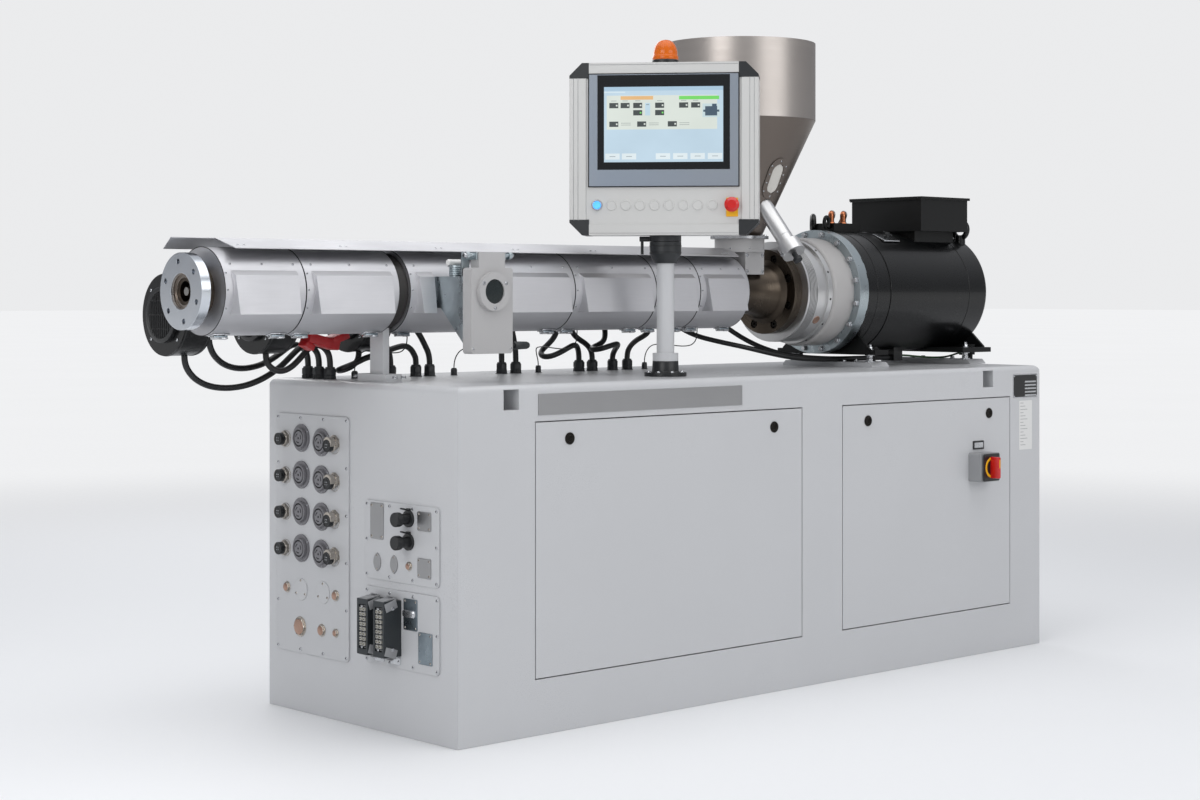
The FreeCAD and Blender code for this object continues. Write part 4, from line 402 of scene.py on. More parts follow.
metal = {"metallic": 1.0, "second": 0.12, "dust": 0.04, "worn": (215, 215, 215)}
finishes = {
    "painted_grey": makeFinish("cabinetPaint", (194, 195, 197), rough=(0.26, 0.36), size=380.0,
                               bump=0.05, coat=0.25, coatRough=0.12, second=0.025, wear=0.1,
                               worn=(225, 226, 226), dust=0.08),
    "painted_white": makeFinish("gearPaint", (176, 174, 173), rough=(0.36, 0.48), bump=0.1,
                                size=260.0, coat=0.2, second=0.05, drift=9.0, wear=0.3),
    "painted_cream": makeFinish("creamPaint", (178, 177, 177), rough=(0.34, 0.46), size=420.0,
                                bump=0.07, coat=0.1, wear=0.2),
    "painted_black": makeFinish("motorPaint", (7, 8, 9), other=(12, 13, 14), rough=(0.24, 0.36),
                                size=300.0, bump=0.05, coat=0.16, coatRough=0.07, wear=0.2,
                                worn=(46, 48, 49), dust=0.012,
                                shader={"Specular IOR Level": 0.3}),
    "box_black": makeFinish("boxPaint", (9, 10, 10), other=(15, 16, 16), rough=(0.4, 0.54),
                            size=520.0, bump=0.14, wear=0.25, worn=(50, 50, 50), dust=0.015,
                            shader={"Specular IOR Level": 0.3}),
    "shroud_steel": makeFinish("shroudSheet", (206, 206, 209), rough=(0.42, 0.54), size=240.0,
                               stretch=(0.06, 1, 1), bump=0.05, drift=6.0, wear=0.3,
                               **{**metal, "second": 0.05}),
    "zinc": makeFinish("zincPlate", (220, 223, 227), other=(200, 206, 214), rough=(0.16, 0.26),
                       size=700.0, lathe=barrelLine, bump=0.05, drift=16.0, wear=0.2, **metal),
    "barrel_steel": makeFinish("burnishedSteel", (104, 95, 85), other=(66, 58, 50),
                               rough=(0.24, 0.38), size=300.0, lathe=barrelLine, bump=0.5,
                               depth=0.0008, drift=14.0, wear=0.35, **{**metal, "worn": (170,
                                       160, 148)}),
    "turned_aluminium": makeFinish("turnedAluminium", (214, 214, 214), rough=(0.3, 0.4),
                                   size=1100.0, lathe=barrelLine, bump=0.06, wear=0.2,
                                   **{**metal, "second": 0.05}),
    "galvanised": makeFinish("galvanisedSheet", (188, 196, 199), other=(160, 172, 177),
                             rough=(0.24, 0.38), size=46.0, bump=0.03, drift=22.0, wear=0.2,
                             **metal),
    "stainless": makeFinish("hopperSheet", (184, 178, 173), other=(170, 163, 158),
                            rough=(0.34, 0.44), size=500.0, lathe=hopperLine, bump=0.015,
                            drift=4.0, wear=0.25, streak=0.05,
                            # the hopper cone below its top seam takes a darker tone as painted shade
                            low=(at("hopper", (0, 0, 0)).z * mm + 0.349, (112, 104, 98)),
                            **metal),
    "screw_steel": makeFinish("groundSteel", (176, 174, 170), rough=(0.14, 0.26), size=900.0,
                              lathe=barrelLine, bump=0.1, wear=0.1, **metal),
    "plate_grey": makeFinish("platePaint", (192, 193, 195), rough=(0.32, 0.42), size=480.0,
                             bump=0.06, second=0.03, wear=0.15, dust=0.05),
    "socket_grey": makeFinish("socketPlastic", (118, 117, 121), rough=(0.36, 0.48), size=900.0,
                              bump=0.12, wear=0.2, worn=(150, 150, 152)),
    "plastic_black": makeFinish("blackPlastic", (24, 27, 30), other=(32, 35, 38),
                                rough=(0.34, 0.48), size=1100.0, bump=0.16, wear=0.3,
                                worn=(70, 72, 74), dust=0.05),
    "panel_grey": makeFinish("profilePaint", (200, 200, 198), rough=(0.3, 0.4), size=600.0,
                             bump=0.05, second=0.03, coat=0.15, wear=0.15),
    "bezel_grey": makeFinish("bezelMetal", (150, 153, 158), other=(122, 136, 152),
                             rough=(0.28, 0.38), size=1500.0, bump=0.05, drift=2.2,
                             metallic=0.3, wear=0.3, dust=0.03),
    "screen_glass": makeFinish("screenGlass", (6, 9, 11), other=(10, 13, 16), rough=(0.04, 0.1),
                               size=60.0, bump=0.0, drift=12.0, coat=1.0, coatRough=0.02,
                               wear=0.0, dust=0.02),
    "clear_glass": makeFinish("sightPane", (30, 40, 40), other=(18, 26, 27), rough=(0.03, 0.12),
                              size=90.0, bump=0.0, drift=20.0, coat=1.0, coatRough=0.02,
                              wear=0.0, dust=0.05),
    "beacon_orange": makeFinish("beaconLens", (206, 100, 10), other=(190, 84, 8),
                                rough=(0.12, 0.2), size=160.0, bump=0.05, drift=70.0, coat=0.15,
                                coatRough=0.04, wear=0.4, worn=(255, 180, 60), dust=0.02,
                                shader={"Specular IOR Level": 0.3, "Emission Color": linear(255,
                                        130, 10),
                                        "Emission Strength": 0.05}),
    "stop_red": makeFinish("stopRed", (206, 26, 24), other=(184, 18, 18), rough=(0.22, 0.32),
                           size=900.0, bump=0.04, coat=0.3, wear=0.2, worn=(228, 96, 90)),
    "button_blue": makeFinish("litBlue", (120, 200, 255), other=(50, 140, 250),
                              rough=(0.12, 0.2), size=400.0, bump=0.02, drift=60.0, coat=0.6,
                              wear=0.0, shader={"Emission Color": linear(70, 160, 255),
                                                "Emission Strength": 0.9}),
    "nickel": makeFinish("nickelPlate", (190, 183, 174), rough=(0.16, 0.28), size=700.0,
                         bump=0.05, drift=30.0, wear=0.2, **metal),
    "hose_black": makeFinish("hoseSleeve", (13, 14, 15), other=(21, 22, 24), rough=(0.34, 0.48),
                             size=700.0, bump=0.2, wear=0.0, dust=0.05, edge=0.0005),
    "earth_green": makeFinish("wireGreen", (24, 58, 28), other=(40, 76, 30), rough=(0.3, 0.42),
                              size=900.0, bump=0.08, wear=0.0, edge=0.0005),
}
for cord, finish in cords:
    cord.data.materials.append(finishes[finish])
slotOf = {part["node"]: part["material_slot"] for part in frame["record"]["subparts"]}
for node, part in frame["nodes"].items():
    for slot in part.material_slots:
        slot.material = finishes[slotOf[node]]
print("finishes made and laid on", len(frame["nodes"]), "CAD parts")

# small part makers, in millimetres; finishPiece scales them to metres
onFront, onEnd = Vector((0, -1, 0)), Vector((-1, 0, 0))
hmiTurn = Matrix.Rotation(math.radians(-48.6), 4, "Z")
hmiPlace = Matrix.Translation((-315, -240, 0)) @ hmiTurn


def turn(bm, start, way, rings, steps=24, spin=0.0, tone=0):
    # a turned piece: rings are (distance, radius) or (distance, radius, number of flats)
    axis = Vector(way).normalized()
    lead = Vector((0, 0, 1)) if abs(axis.z) < 0.9 else Vector((1, 0, 0))
    side = lead.cross(axis).normalized()
    other = axis.cross(side)
    loops = []
    for along, radius, *flats in rings:
        centre = Vector(start) + axis * along
        if radius <= 0:
            loops.append([bm.verts.new(centre)])
            continue
        loop = []
        for k in range(steps):
            angle = 2 * math.pi * k / steps
            reach = radius
            if flats:
                half = math.pi / flats[0]
                reach *= math.cos(half) / math.cos(angle % (2 * half) - half)
            angle += spin
            loop.append(bm.verts.new(centre + (side * math.cos(angle)
                                               + other * math.sin(angle)) * reach))
        loops.append(loop)
    for a, b in zip(loops, loops[1:]):
        for k in range(steps):
            n = (k + 1) % steps
            corners = dict.fromkeys([a[k % len(a)], a[n % len(a)], b[n % len(b)], b[k % len(b)]])
            if len(corners) > 2:
                bm.faces.new(list(corners)).material_index = tone


def block(bm, centre, size, soft=0.6, turned=None, tone=0):
    made = bmesh.ops.create_cube(bm, size=1.0)["verts"]
    place = Matrix.Translation(centre) @ (turned or Matrix()) @ Matrix.Diagonal((*size, 1))
    bmesh.ops.transform(bm, matrix=place, verts=made)
    faces = {f for v in made for f in v.link_faces}
    for face in faces:
        face.material_index = tone
    if soft:
        edges = {e for v in made for e in v.link_edges}
        bmesh.ops.bevel(bm, geom=list(edges), offset=soft, segments=2, affect="EDGES",
                        profile=0.6, clamp_overlap=True)


def slab(bm, outline, origin, across, up, thick, soft=0.5, tone=0):
    # a flat plate: outline points on the two ways, standing thick out of its plane
    across, up = Vector(across).normalized(), Vector(up).normalized()
    out = across.cross(up)
    middle = sum((Vector(p) for p in outline), Vector((0, 0))) / len(outline)
    levels = [(0, 0), (thick - soft, 0), (thick, soft)] if soft else [(0, 0), (thick, 0)]
    loops = []
    for rise, inset in levels:
        loop = []
        for u, v in outline:
            near = Vector((u, v)) - middle
            share = 1 - inset / max(near.length, 0.001)
            u2, v2 = middle + near * share
            loop.append(bm.verts.new(Vector(origin) + across * u2 + up * v2 + out * rise))
        loops.append(loop)
    for a, b in zip(loops, loops[1:]):
        for k in range(len(outline)):
            n = (k + 1) % len(outline)
            bm.faces.new((a[k], a[n], b[n], b[k])).material_index = tone
    bm.faces.new(list(reversed(loops[0]))).material_index = tone
    bm.faces.new(loops[-1]).material_index = tone


def roundedOutline(low, high, corner, steps=5):
    points = []
    for cx, cy, first in ((high[0] - corner, high[1] - corner, 0),
                          (low[0] + corner, high[1] - corner, 90),
                          (low[0] + corner, low[1] + corner, 180),
                          (high[0] - corner, low[1] + corner, 270)):
        for k in range(steps + 1):
            angle = math.radians(first + 90 * k / steps)
            points.append((cx + corner * math.cos(angle), cy + corner * math.sin(angle)))
    return points


def capScrew(bm, place, way, radius, tall, tone=0, inner=0):
    # socket screw with a hexagon pocket
    turn(bm, place, way, [(0, radius * 1.9), (1.2, radius * 1.9), (1.2, radius),
                          (tall - 0.8, radius), (tall, radius * 0.9), (tall, radius * 0.56, 6)],
         steps=18, tone=tone)
    turn(bm, place, way, [(tall, radius * 0.56, 6), (tall * 0.45, radius * 0.54, 6),
                          (tall * 0.4, 0)], steps=18, tone=inner)


def hexScrew(bm, place, way, flat, tall, spin=0.0, tone=0):
    turn(bm, place, way, [(0, flat * 1.25), (flat * 0.16, flat * 1.25), (flat * 0.16, flat, 6),
                          (tall * 0.88, flat, 6), (tall, flat * 0.84), (tall, 0)], steps=24,
         spin=spin, tone=tone)


def panScrew(bm, place, way, radius, tall, tone=0, inner=None, spin=0.0):
    turn(bm, place, way, [(0, radius), (tall * 0.45, radius), (tall * 0.85, radius * 0.8),
                          (tall, radius * 0.45, 6)], steps=12, tone=tone, spin=spin)
    turn(bm, place, way, [(tall, radius * 0.45, 6), (tall * 0.4, radius * 0.4, 6),
                          (tall * 0.35, 0)],
         steps=12, tone=tone if inner is None else inner, spin=spin)


def finishPiece(bm, name, looks, body="machine", slot=None, placed=None, corner=35):
    # scales the piece to metres, shades it smooth up to a corner and gives it its body
    bmesh.ops.recalc_face_normals(bm, faces=bm.faces)
    bm.transform(Matrix.Scale(mm, 4) @ (placed or Matrix()))
    mesh = bpy.data.meshes.new(name)
    bm.to_mesh(mesh)
    bm.free()
    for face in mesh.polygons:
        face.use_smooth = True
    mesh.set_sharp_from_angle(angle=math.radians(corner))
    looks = [looks] if isinstance(looks, str) else looks
    for look in looks:
        mesh.materials.append(finishes[look])
    piece = bpy.data.objects.new(name, mesh)
    scene.collection.objects.link(piece)
    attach(piece, body)
    return piece


def rod(name, points, radius, look, body="machine", placed=None):
    # a bent rod or pipe through its points
    curve = bpy.data.curves.new(name, "CURVE")
    curve.dimensions = "3D"
    curve.bevel_depth = radius * mm
    curve.bevel_resolution = 4
    curve.use_fill_caps = True
    line = curve.splines.new("NURBS")
    line.points.add(len(points) - 1)
    for dot, point in zip(line.points, points):
        dot.co = (*(((placed or Matrix()) @ Vector(point)) * mm), 1)
    line.order_u = 3
    line.use_endpoint_u = True
    line.resolution_u = 8
    curve.materials.append(finishes[look])
    piece = bpy.data.objects.new(name, curve)
    scene.collection.objects.link(piece)
    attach(piece, body)
    return piece


def finishScrews(bm, name, **own):
    # screws whose socket pockets are near-black: painted shade in the sockets
    return finishPiece(bm, name, ["bright_zinc", "dark_gap"], slot="nickel", **own)


def finishZinc(bm, name, **own):
    return finishPiece(bm, name, "bright_zinc", slot="nickel", **own)


def finishOnPanel(bm, name, looks, slot=None):
    return finishPiece(bm, name, looks, body="panel", slot=slot, placed=hmiPlace)


def frontPlate(bm, low, high, corner, depth, thick, soft, tone=0):
    # a rounded plate on a face that looks to the operator
    slab(bm, roundedOutline(low, high, corner), (0, depth, 0), (1, 0, 0), (0, 0, 1), thick, soft,
            tone)


def endPlate(bm, low, high, corner, depth, thick, soft, tone=0):
    # a rounded plate on the die end, where y runs the other way
    slab(bm, roundedOutline(low, high, corner), (depth, 0, 0), (0, -1, 0), (0, 0, 1), thick,
            soft, tone)


def around(count, first, reach):
    # places evenly round a circle, from a first angle in degrees
    angles = (math.radians(360 / count * k + first) for k in range(count))
    return [(reach * math.cos(angle), reach * math.sin(angle)) for angle in angles]


finishes.update({
    "bright_zinc": makeFinish("screwZinc", (205, 207, 210), rough=(0.16, 0.3), size=900.0,
                              bump=0.05, drift=60.0, wear=0.2, **metal),
    "black_steel": makeFinish("blackSteel", (30, 29, 28), other=(46, 43, 40), rough=(0.3, 0.44),
                              size=900.0, bump=0.12, drift=40.0, wear=0.4,
                              **{**metal, "worn": (120, 116, 110)}),
    "zinc_plain": makeFinish("plateZinc", (150, 160, 166), other=(118, 130, 138),
                             rough=(0.24, 0.38), size=60.0, bump=0.03, drift=22.0, wear=0.3,
                             **metal),
    "board_steel": makeFinish("brushedBoard", (176, 176, 177), rough=(0.28, 0.4), size=900.0,
                              stretch=(0.02, 1, 1), bump=0.1, drift=2.0, wear=0.2, **metal),
    "yellow_cap": makeFinish("yellowPlastic", (236, 176, 12), rough=(0.28, 0.4), size=700.0,
                             bump=0.04, wear=0.15, worn=(244, 214, 120)),
    "label_pale": makeFinish("labelPale", (226, 226, 224), rough=(0.4, 0.5), size=300.0,
                             bump=0.02, wear=0.0, dust=0.05),
    "label_black": makeFinish("labelBlack", (20, 21, 22), other=(28, 29, 30), rough=(0.3, 0.4),
                              size=300.0, bump=0.03, wear=0.2, worn=(90, 90, 90)),
    "black_plastic": makeFinish("capPlastic", (17, 19, 21), other=(26, 28, 30),
                                rough=(0.3, 0.44), size=900.0, bump=0.1, wear=0.3,
                                worn=(68, 70, 72), dust=0.04),
    "motor_trim": makeFinish("trimPaint", (18, 19, 20), other=(28, 29, 30), rough=(0.3, 0.42),
                             size=500.0, bump=0.1, wear=0.3, worn=(66, 68, 70), dust=0.05),
    "beacon_core": makeFinish("beaconCore", (255, 190, 90), other=(250, 150, 50),
                              rough=(0.3, 0.4), size=300.0, wear=0.0,
                              shader={"Emission Color": linear(255, 150, 40),
                                      "Emission Strength": 0.25}),
    "nose_steel": makeFinish("noseSteel", (168, 160, 152), other=(120, 110, 102),
                             rough=(0.2, 0.34), size=900.0, lathe=barrelLine, bump=0.1,
                             drift=30.0, wear=0.3, **metal),
    "ring_black": makeFinish("ringPaint", (30, 28, 27), other=(44, 41, 39), rough=(0.4, 0.55),
                             size=300.0, bump=0.1, wear=0.3, worn=(80, 76, 72), dust=0.02),
    "ivory": makeFinish("ivoryInsert", (206, 200, 178), rough=(0.4, 0.5), size=800.0, bump=0.05,
                        wear=0.0),
    "copper": makeFinish("copperPipe", (196, 128, 92), other=(158, 96, 66), rough=(0.18, 0.3),
                         size=700.0, bump=0.05, drift=60.0, wear=0.2,
                         **{**metal, "worn": (228, 172, 138)}),
    "hood_grey": makeFinish("hoodCasting", (44, 49, 52), other=(32, 37, 40), rough=(0.42, 0.56),
                            size=700.0, bump=0.22, wear=0.5, worn=(120, 122, 124)),
    "red_plastic": makeFinish("redCover", (186, 34, 38), other=(158, 24, 30), rough=(0.3, 0.42),
                              size=600.0, bump=0.06, wear=0.3, worn=(214, 96, 92)),
    # near-black: in screw sockets, holes, slots, groove bottoms, the blower inlets and the connector
    # pockets it is painted shade; on the panel gasket, the shroud seams and the dark ring screws it is
    # their own colour
    "dark_gap": makeFinish("darkRecess", (22, 23, 24), rough=(0.6, 0.75), size=300.0, bump=0.05,
                           wear=0.0, dust=0.1),
    "mid_grey": makeFinish("greyPlastic", (150, 151, 153), rough=(0.34, 0.46), size=800.0,
                           bump=0.06, wear=0.15, worn=(182, 182, 184)),
    "window_white": makeFinish("windowPane", (206, 203, 196), rough=(0.14, 0.24), size=200.0,
                               bump=0.02, wear=0.0, coat=0.6, dust=0.12),
    "brown_cap": makeFinish("brownCap", (188, 158, 142), other=(158, 126, 110), rough=(0.24, 0.36),
                            size=700.0, bump=0.06, drift=50.0, wear=0.4,
                            **{**metal, "worn": (222, 200, 186)}),
})
print("extra finishes made")
for node, look in (("power_connectors", "hood_grey"), ("switch_box", "mid_grey"),
                   ("clamp_lever", "black_plastic")):
    for slot in frame["nodes"][node].material_slots:
        slot.material = finishes[look]

# cabinet: board, locks, slots, plates and screws
cab = {"front": -400.0, "locks": [(-808, 731), (-54, 728), (342, 729), (909, 730)],
       "board": (-913, -182, 793, 846), "rating": (1030, 1155, 771, 845)}
bm = bmesh.new()
xLow, xHigh, zLow, zHigh = cab["board"]
frontPlate(bm, (xLow, zLow), (xHigh, zHigh), 1.5, cab["front"], 1.9, 0.4)
finishPiece(bm, "board_blank", "board_steel")

bm = bmesh.new()
for x, z in cab["locks"]:
    turn(bm, (x, cab["front"] + 0.5, z), onFront, [(0, 15.5), (2.6, 15.5), (4.2, 13.6), (4.3, 8.5),
                                                 (2.6, 7.6), (2.4, 4.4, 4), (1.2, 4.2, 4),
                                                 (1.2, 0)], steps=28)
finishPiece(bm, "door_locks", "black_steel", slot="nickel")

bm = bmesh.new()
xLow, xHigh, zLow, zHigh = cab["rating"]
frontPlate(bm, (xLow, zLow), (xHigh, zHigh), 3, cab["front"], 1.0, 0.3)
frontPlate(bm, (xLow + 3, zLow + 3), (xHigh - 3, zHigh - 3), 2, cab["front"] - 0.95, 0.35, 0.15,
        tone=1)
for row in range(5):
    z = zHigh - 22 - row * 10.5
    frontPlate(bm, (xLow + 60, z - 5), (xHigh - 8, z), 0.6, cab["front"] - 1.28, 0.2, 0.1, tone=0)
for x, z in ((xLow + 6, zLow + 6), (xHigh - 6, zLow + 6), (xLow + 6, zHigh - 6),
             (xHigh - 6, zHigh - 6)):
    panScrew(bm, (x, cab["front"] - 1.2, z), onFront, 2.2, 1.4, tone=0)
frontPlate(bm, (1062, 610), (1128, 762), 2, cab["front"], 0.4, 0.15, tone=2)
for z in range(624, 756, 10):
    slab(bm, roundedOutline((1068, z), (1112 - (z * 7) % 30, z + 1.6), 0.4),
         (0, cab["front"] - 0.38, 0), (1, 0, 0), (0, 0, 1), 0.1, 0.0, tone=3)
finishPiece(bm, "rating_plates", ["bright_zinc", "label_black", "label_pale", "mid_grey"],
            slot="nickel")

# end plates: zinc screws round their edges
plates = {"main": (37, 362, 154, 779), "signal": (-333, -31, 380, 576),
          "power": (-335, -31, 167, 360)}
bm = bmesh.new()
face = at("end_plates", (0, 0.5, 0.5)).x
for yLow, yHigh, zLow, zHigh in plates.values():
    wide, high = yHigh - yLow, zHigh - zLow
    nWide, nHigh = max(2, round(wide / 120)), max(2, round(high / 125))
    spots = {(yLow + 10 + (wide - 20) * k / nWide, z) for k in range(nWide + 1)
             for z in (zLow + 10, zHigh - 10)}
    spots |= {(y, zLow + 10 + (high - 20) * k / nHigh) for k in range(nHigh + 1)
              for y in (yLow + 10, yHigh - 10)}
    for y, z in spots:
        panScrew(bm, (face + 0.1, y, z), onEnd, 4.3, 2.6, inner=1, spin=random.random())
finishScrews(bm, "plate_screws")

# round blank covers, plugs, the tall blank plate and square plates on the end face
bm = bmesh.new()
for y, z in ((247, 321), (148, 322)):
    turn(bm, (face, y, z), onEnd, [(0, 29), (1.6, 29), (2.2, 28.2), (2.2, 0)], steps=40, tone=2)
    for k in range(3):
        angle = math.radians(90 + 120 * k)
        panScrew(bm, (face - 1.9, y + 23 * math.cos(angle), z + 23 * math.sin(angle)), onEnd,
                 3.4, 2.0, tone=0, inner=3)
for y, z, radius in ((311, 321, 12), (93, 320, 12), (251, 223, 24), (154, 224, 14), (92, 224, 9),
                     (-215, 424, 9)):
    turn(bm, (face, y, z), onEnd, [(0, radius + 2.5), (1.5, radius + 2.5), (2, radius, 6),
                                 (5, radius, 6), (6, radius - 1.2, 6)], steps=24, tone=0)
    turn(bm, (face, y, z), onEnd, [(5.6, radius * 0.86), (6.4, radius * 0.86),
                                 (6.9, radius * 0.75), (6.9, 0)], steps=24, tone=1)
endPlate(bm, (57, 480), (111, 571), 4, face, 2.0,
     0.4, tone=4)
for y in (-105, -63):
    for z in (487, 564):
        panScrew(bm, (face - 1.8, y, z), onEnd, 3.4, 2.0, tone=0, inner=3)
for yLow, yHigh, zLow, zHigh, look in ((-302, -249, 515, 562, 4), (-302, -249, 400, 448, 4),
                                       (-248, -194, 267, 344, 5), (-307, -253, 189, 267, 5)):
    endPlate(bm, (-yHigh, zLow), (-yLow, zHigh), 3, face, 2.2, 0.4, tone=look)
    for y in (yLow + 6, yHigh - 6):
        for z in (zLow + 6, zHigh - 6):
            panScrew(bm, (face - 2.0, y, z), onEnd, 2.8, 1.8, tone=0, inner=3)
for y, z in ((-85, 423), (-154, 423)):
    outline = [(-y + 15 * math.cos(a) * abs(math.cos(a)) ** 0.35, z + 23 * math.sin(a))
               for a in (2 * math.pi * k / 28 for k in range(28))]
    slab(bm, outline, (face, 0, 0), (0, -1, 0), (0, 0, 1), 2.4, 0.5, tone=4)
    for side in (-1, 1):
        panScrew(bm, (face - 2.2, y, z + side * 17), onEnd, 2.4, 1.5, tone=0, inner=3)
# the near-black dark_gap finish on the screw sockets is painted shade
finishPiece(bm, "plate_fittings", ["nickel", "brown_cap", "plate_grey", "dark_gap", "board_steel",
                                   "zinc_plain"])
bm = bmesh.new()
endPlate(bm, (197, 298), (245, 318), 8, face - 2.0, 9, 4.0)
finishPiece(bm, "plate_bulge", "bright_zinc", slot="zinc")
print("cabinet trim built")

# operator panel: gasket, profile grooves, display, button rings, yellow plate, beacon
hmi = {"face": -67.0, "glass": -73.0, "screen": (-160.5, 1448.0, 321.0, 203.0),
       "unit": 321.0 / 895, "buttons": [-141, -102, -63.5, -24.5, 14.5, 53.5, 92, 131],
       "buttonZ": 1333.0, "blueX": -180.0, "stopX": 184.0}
bm = bmesh.new()
for low, high, wide, y in (((-216, 1300), (216, 1692), 2.2, hmi["face"]),):
    for x in (low[0], high[0]):
        block(bm, (x, y - 0.5, (1272 + 1697) / 2), (wide, 2.4, 425), 0.4)
for z in (1268, 1701):
    block(bm, (0, -68.6, z), (432, 2.6, 2.2), 0.4)
finishOnPanel(bm, "frame_grooves", "mid_grey", "panel_grey")
bm = bmesh.new()
for x in (-243.5, -231.5, 231.5, 243.5):
    block(bm, (x, -70.1, 1484), (1.0, 0.5, 385), 0.1, tone=1)
for z in (1257.5, 1711.5):
    block(bm, (0, -70.1, z), (400, 0.5, 1.0), 0.1, tone=1)
for side in (-1, 1):
    block(bm, (side * 202.6, -69.5, 1534.5), (2.6, 5.0, 304), 0.5, tone=0)
for z in (1382.6, 1686.6):
    block(bm, (0, -69.5, z), (407, 5.0, 2.6), 0.5, tone=0)
finishOnPanel(bm, "bezel_gasket", ["dark_gap", "mid_grey"], "panel_grey")


def screenFinish():
    material = bpy.data.materials.new("screenPicture")
    material.use_nodes = True
    tree = material.node_tree
    shader = tree.nodes["Principled BSDF"]
    shade = addNode(tree, "Attribute", attribute_name="tint", attribute_type="GEOMETRY")
    where = addNode(tree, "TexCoord")
    cloud = placeGroup(tree, "grain", [("Place", where.outputs["Object"]), ("Size", 9.0)])
    level = addNode(tree, "MapRange", [("Value", cloud.outputs["Field"]), ("To Min", 0.9),
                                       ("To Max", 1.08)])
    lit = addNode(tree, "VectorMath", [(0, shade.outputs["Color"]), (1, level.outputs[0])],
                  operation="MULTIPLY")
    tree.links.new(lit.outputs[0], shader.inputs["Emission Color"])
    rough = addNode(tree, "MapRange", [("Value", cloud.outputs["Field"]), ("To Min", 0.12),
                                       ("To Max", 0.2)])
    tree.links.new(rough.outputs[0], shader.inputs["Roughness"])
    shader.inputs["Base Color"].default_value = (0.02, 0.02, 0.02, 1)
    shader.inputs["Emission Strength"].default_value = 0.92
    shader.inputs["Coat Weight"].default_value = 0.5
    return material


finishes["screen_picture"] = screenFinish()
blue, pale, dark, light = (198, 222, 238), (226, 234, 226), (64, 72, 72), (222, 240, 248)
areas = [(0, 0, 895, 565, blue), (0, 0, 895, 30, (176, 206, 228)), (0, 36, 160, 44, light),
         (20, 65, 850, 320, pale), (125, 70, 370, 97, (238, 190, 130)),
         (565, 72, 865, 98, (120, 226, 104)), (740, 130, 870, 232, (206, 226, 230)),
         (760, 150, 850, 220, (66, 88, 106)), (812, 132, 846, 152, (66, 88, 106)),
         (746, 176, 762, 192, (66, 88, 106)), (850, 176, 866, 192, (66, 88, 106)),
         (310, 122, 348, 216, (200, 226, 240)), (318, 130, 340, 138, (150, 170, 180))]
areas += [(x, 120, x + 68, 160, dark) for x in (40, 125, 220, 385, 565, 655)]
areas += [(x, 175, x + 68, 215, dark) for x in (220, 385)]
areas += [(x, 260, x + 68, 300, dark) for x in (40, 250, 480)]
areas += [(x + 50, z + 14, x + 62, z + 26, (225, 232, 225)) for x, z in
          ((40, 120), (125, 120), (220, 120), (385, 120), (565, 120), (655, 120), (40, 260),
           (250, 260), (480, 260))]
areas += [(x + 50, 189, x + 62, 201, (120, 226, 104)) for x in (220, 385)]
areas += [(x + 14, 103, x + 54, 108, (168, 178, 176)) for x in (40, 125, 220, 385, 565, 655)]
areas += [(x, 270 + row, x + 74, 275 + row, (178, 186, 182)) for x in (128, 338, 568)
          for row in (0, 14)]
areas += [(x, 500, x + 108, 545, (232, 244, 248)) for x in (10, 135, 390, 520, 650, 780)]
areas += [(x + 32, 520, x + 76, 525, (160, 172, 178)) for x in (10, 135, 390, 520, 650, 780)]
left, bottom, wide, tall = hmi["screen"]
corners, faces, tints = [], [], []
for layer, (x0, z0, x1, z1, tint) in enumerate(areas):
    depth = hmi["glass"] - 0.3 - 0.012 * layer
    first = len(corners)
    for x, z in ((x0, z1), (x1, z1), (x1, z0), (x0, z0)):
        corners.append(hmiPlace @ Vector((left + x * hmi["unit"], depth,
                                          bottom + tall - z * hmi["unit"])) * mm)
    faces.append(tuple(range(first, first + 4)))
    tints += [linear(*tint)] * 4
picture = bpy.data.meshes.new("screen_display")
picture.from_pydata([tuple(c) for c in corners], [], faces)
picture.color_attributes.new("tint", "FLOAT_COLOR", "CORNER")
for spot, tint in zip(picture.color_attributes["tint"].data, tints):
    spot.color = tint
picture.materials.append(finishes["screen_picture"])
display = bpy.data.objects.new("screen_display", picture)
scene.collection.objects.link(display)
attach(display, "panel")

bm = bmesh.new()
for x in hmi["buttons"]:
    turn(bm, (x, hmi["face"], hmi["buttonZ"]), onFront,
         [(0, 14.5), (1.4, 14.4), (2.2, 13.2), (2.2, 11.6), (1.2, 11.0), (1.5, 6), (1.5, 0)],
         steps=36)
finishOnPanel(bm, "blank_buttons", "panel_grey")
bm = bmesh.new()
turn(bm, (hmi["blueX"], hmi["face"], hmi["buttonZ"]), onFront,
     [(0, 15), (2.2, 15), (3.6, 13.8), (3.6, 11.6), (0.6, 11.4)], steps=40)
finishOnPanel(bm, "start_ring", "bright_zinc", "nickel")
bm = bmesh.new()
frontPlate(bm, (168, 1301), (200, 1352), 1.5, hmi["face"], 2.4, 0.5)
finishOnPanel(bm, "stop_plate", "yellow_cap", "panel_grey")
bm = bmesh.new()
turn(bm, (hmi["stopX"], hmi["face"], hmi["buttonZ"]), onFront, [(2.2, 13), (3.2, 12.6), (3.8,
        11.8),
                                                             (3.8, 9.6)], steps=36)
finishOnPanel(bm, "stop_collar", "black_plastic", "plastic_black")

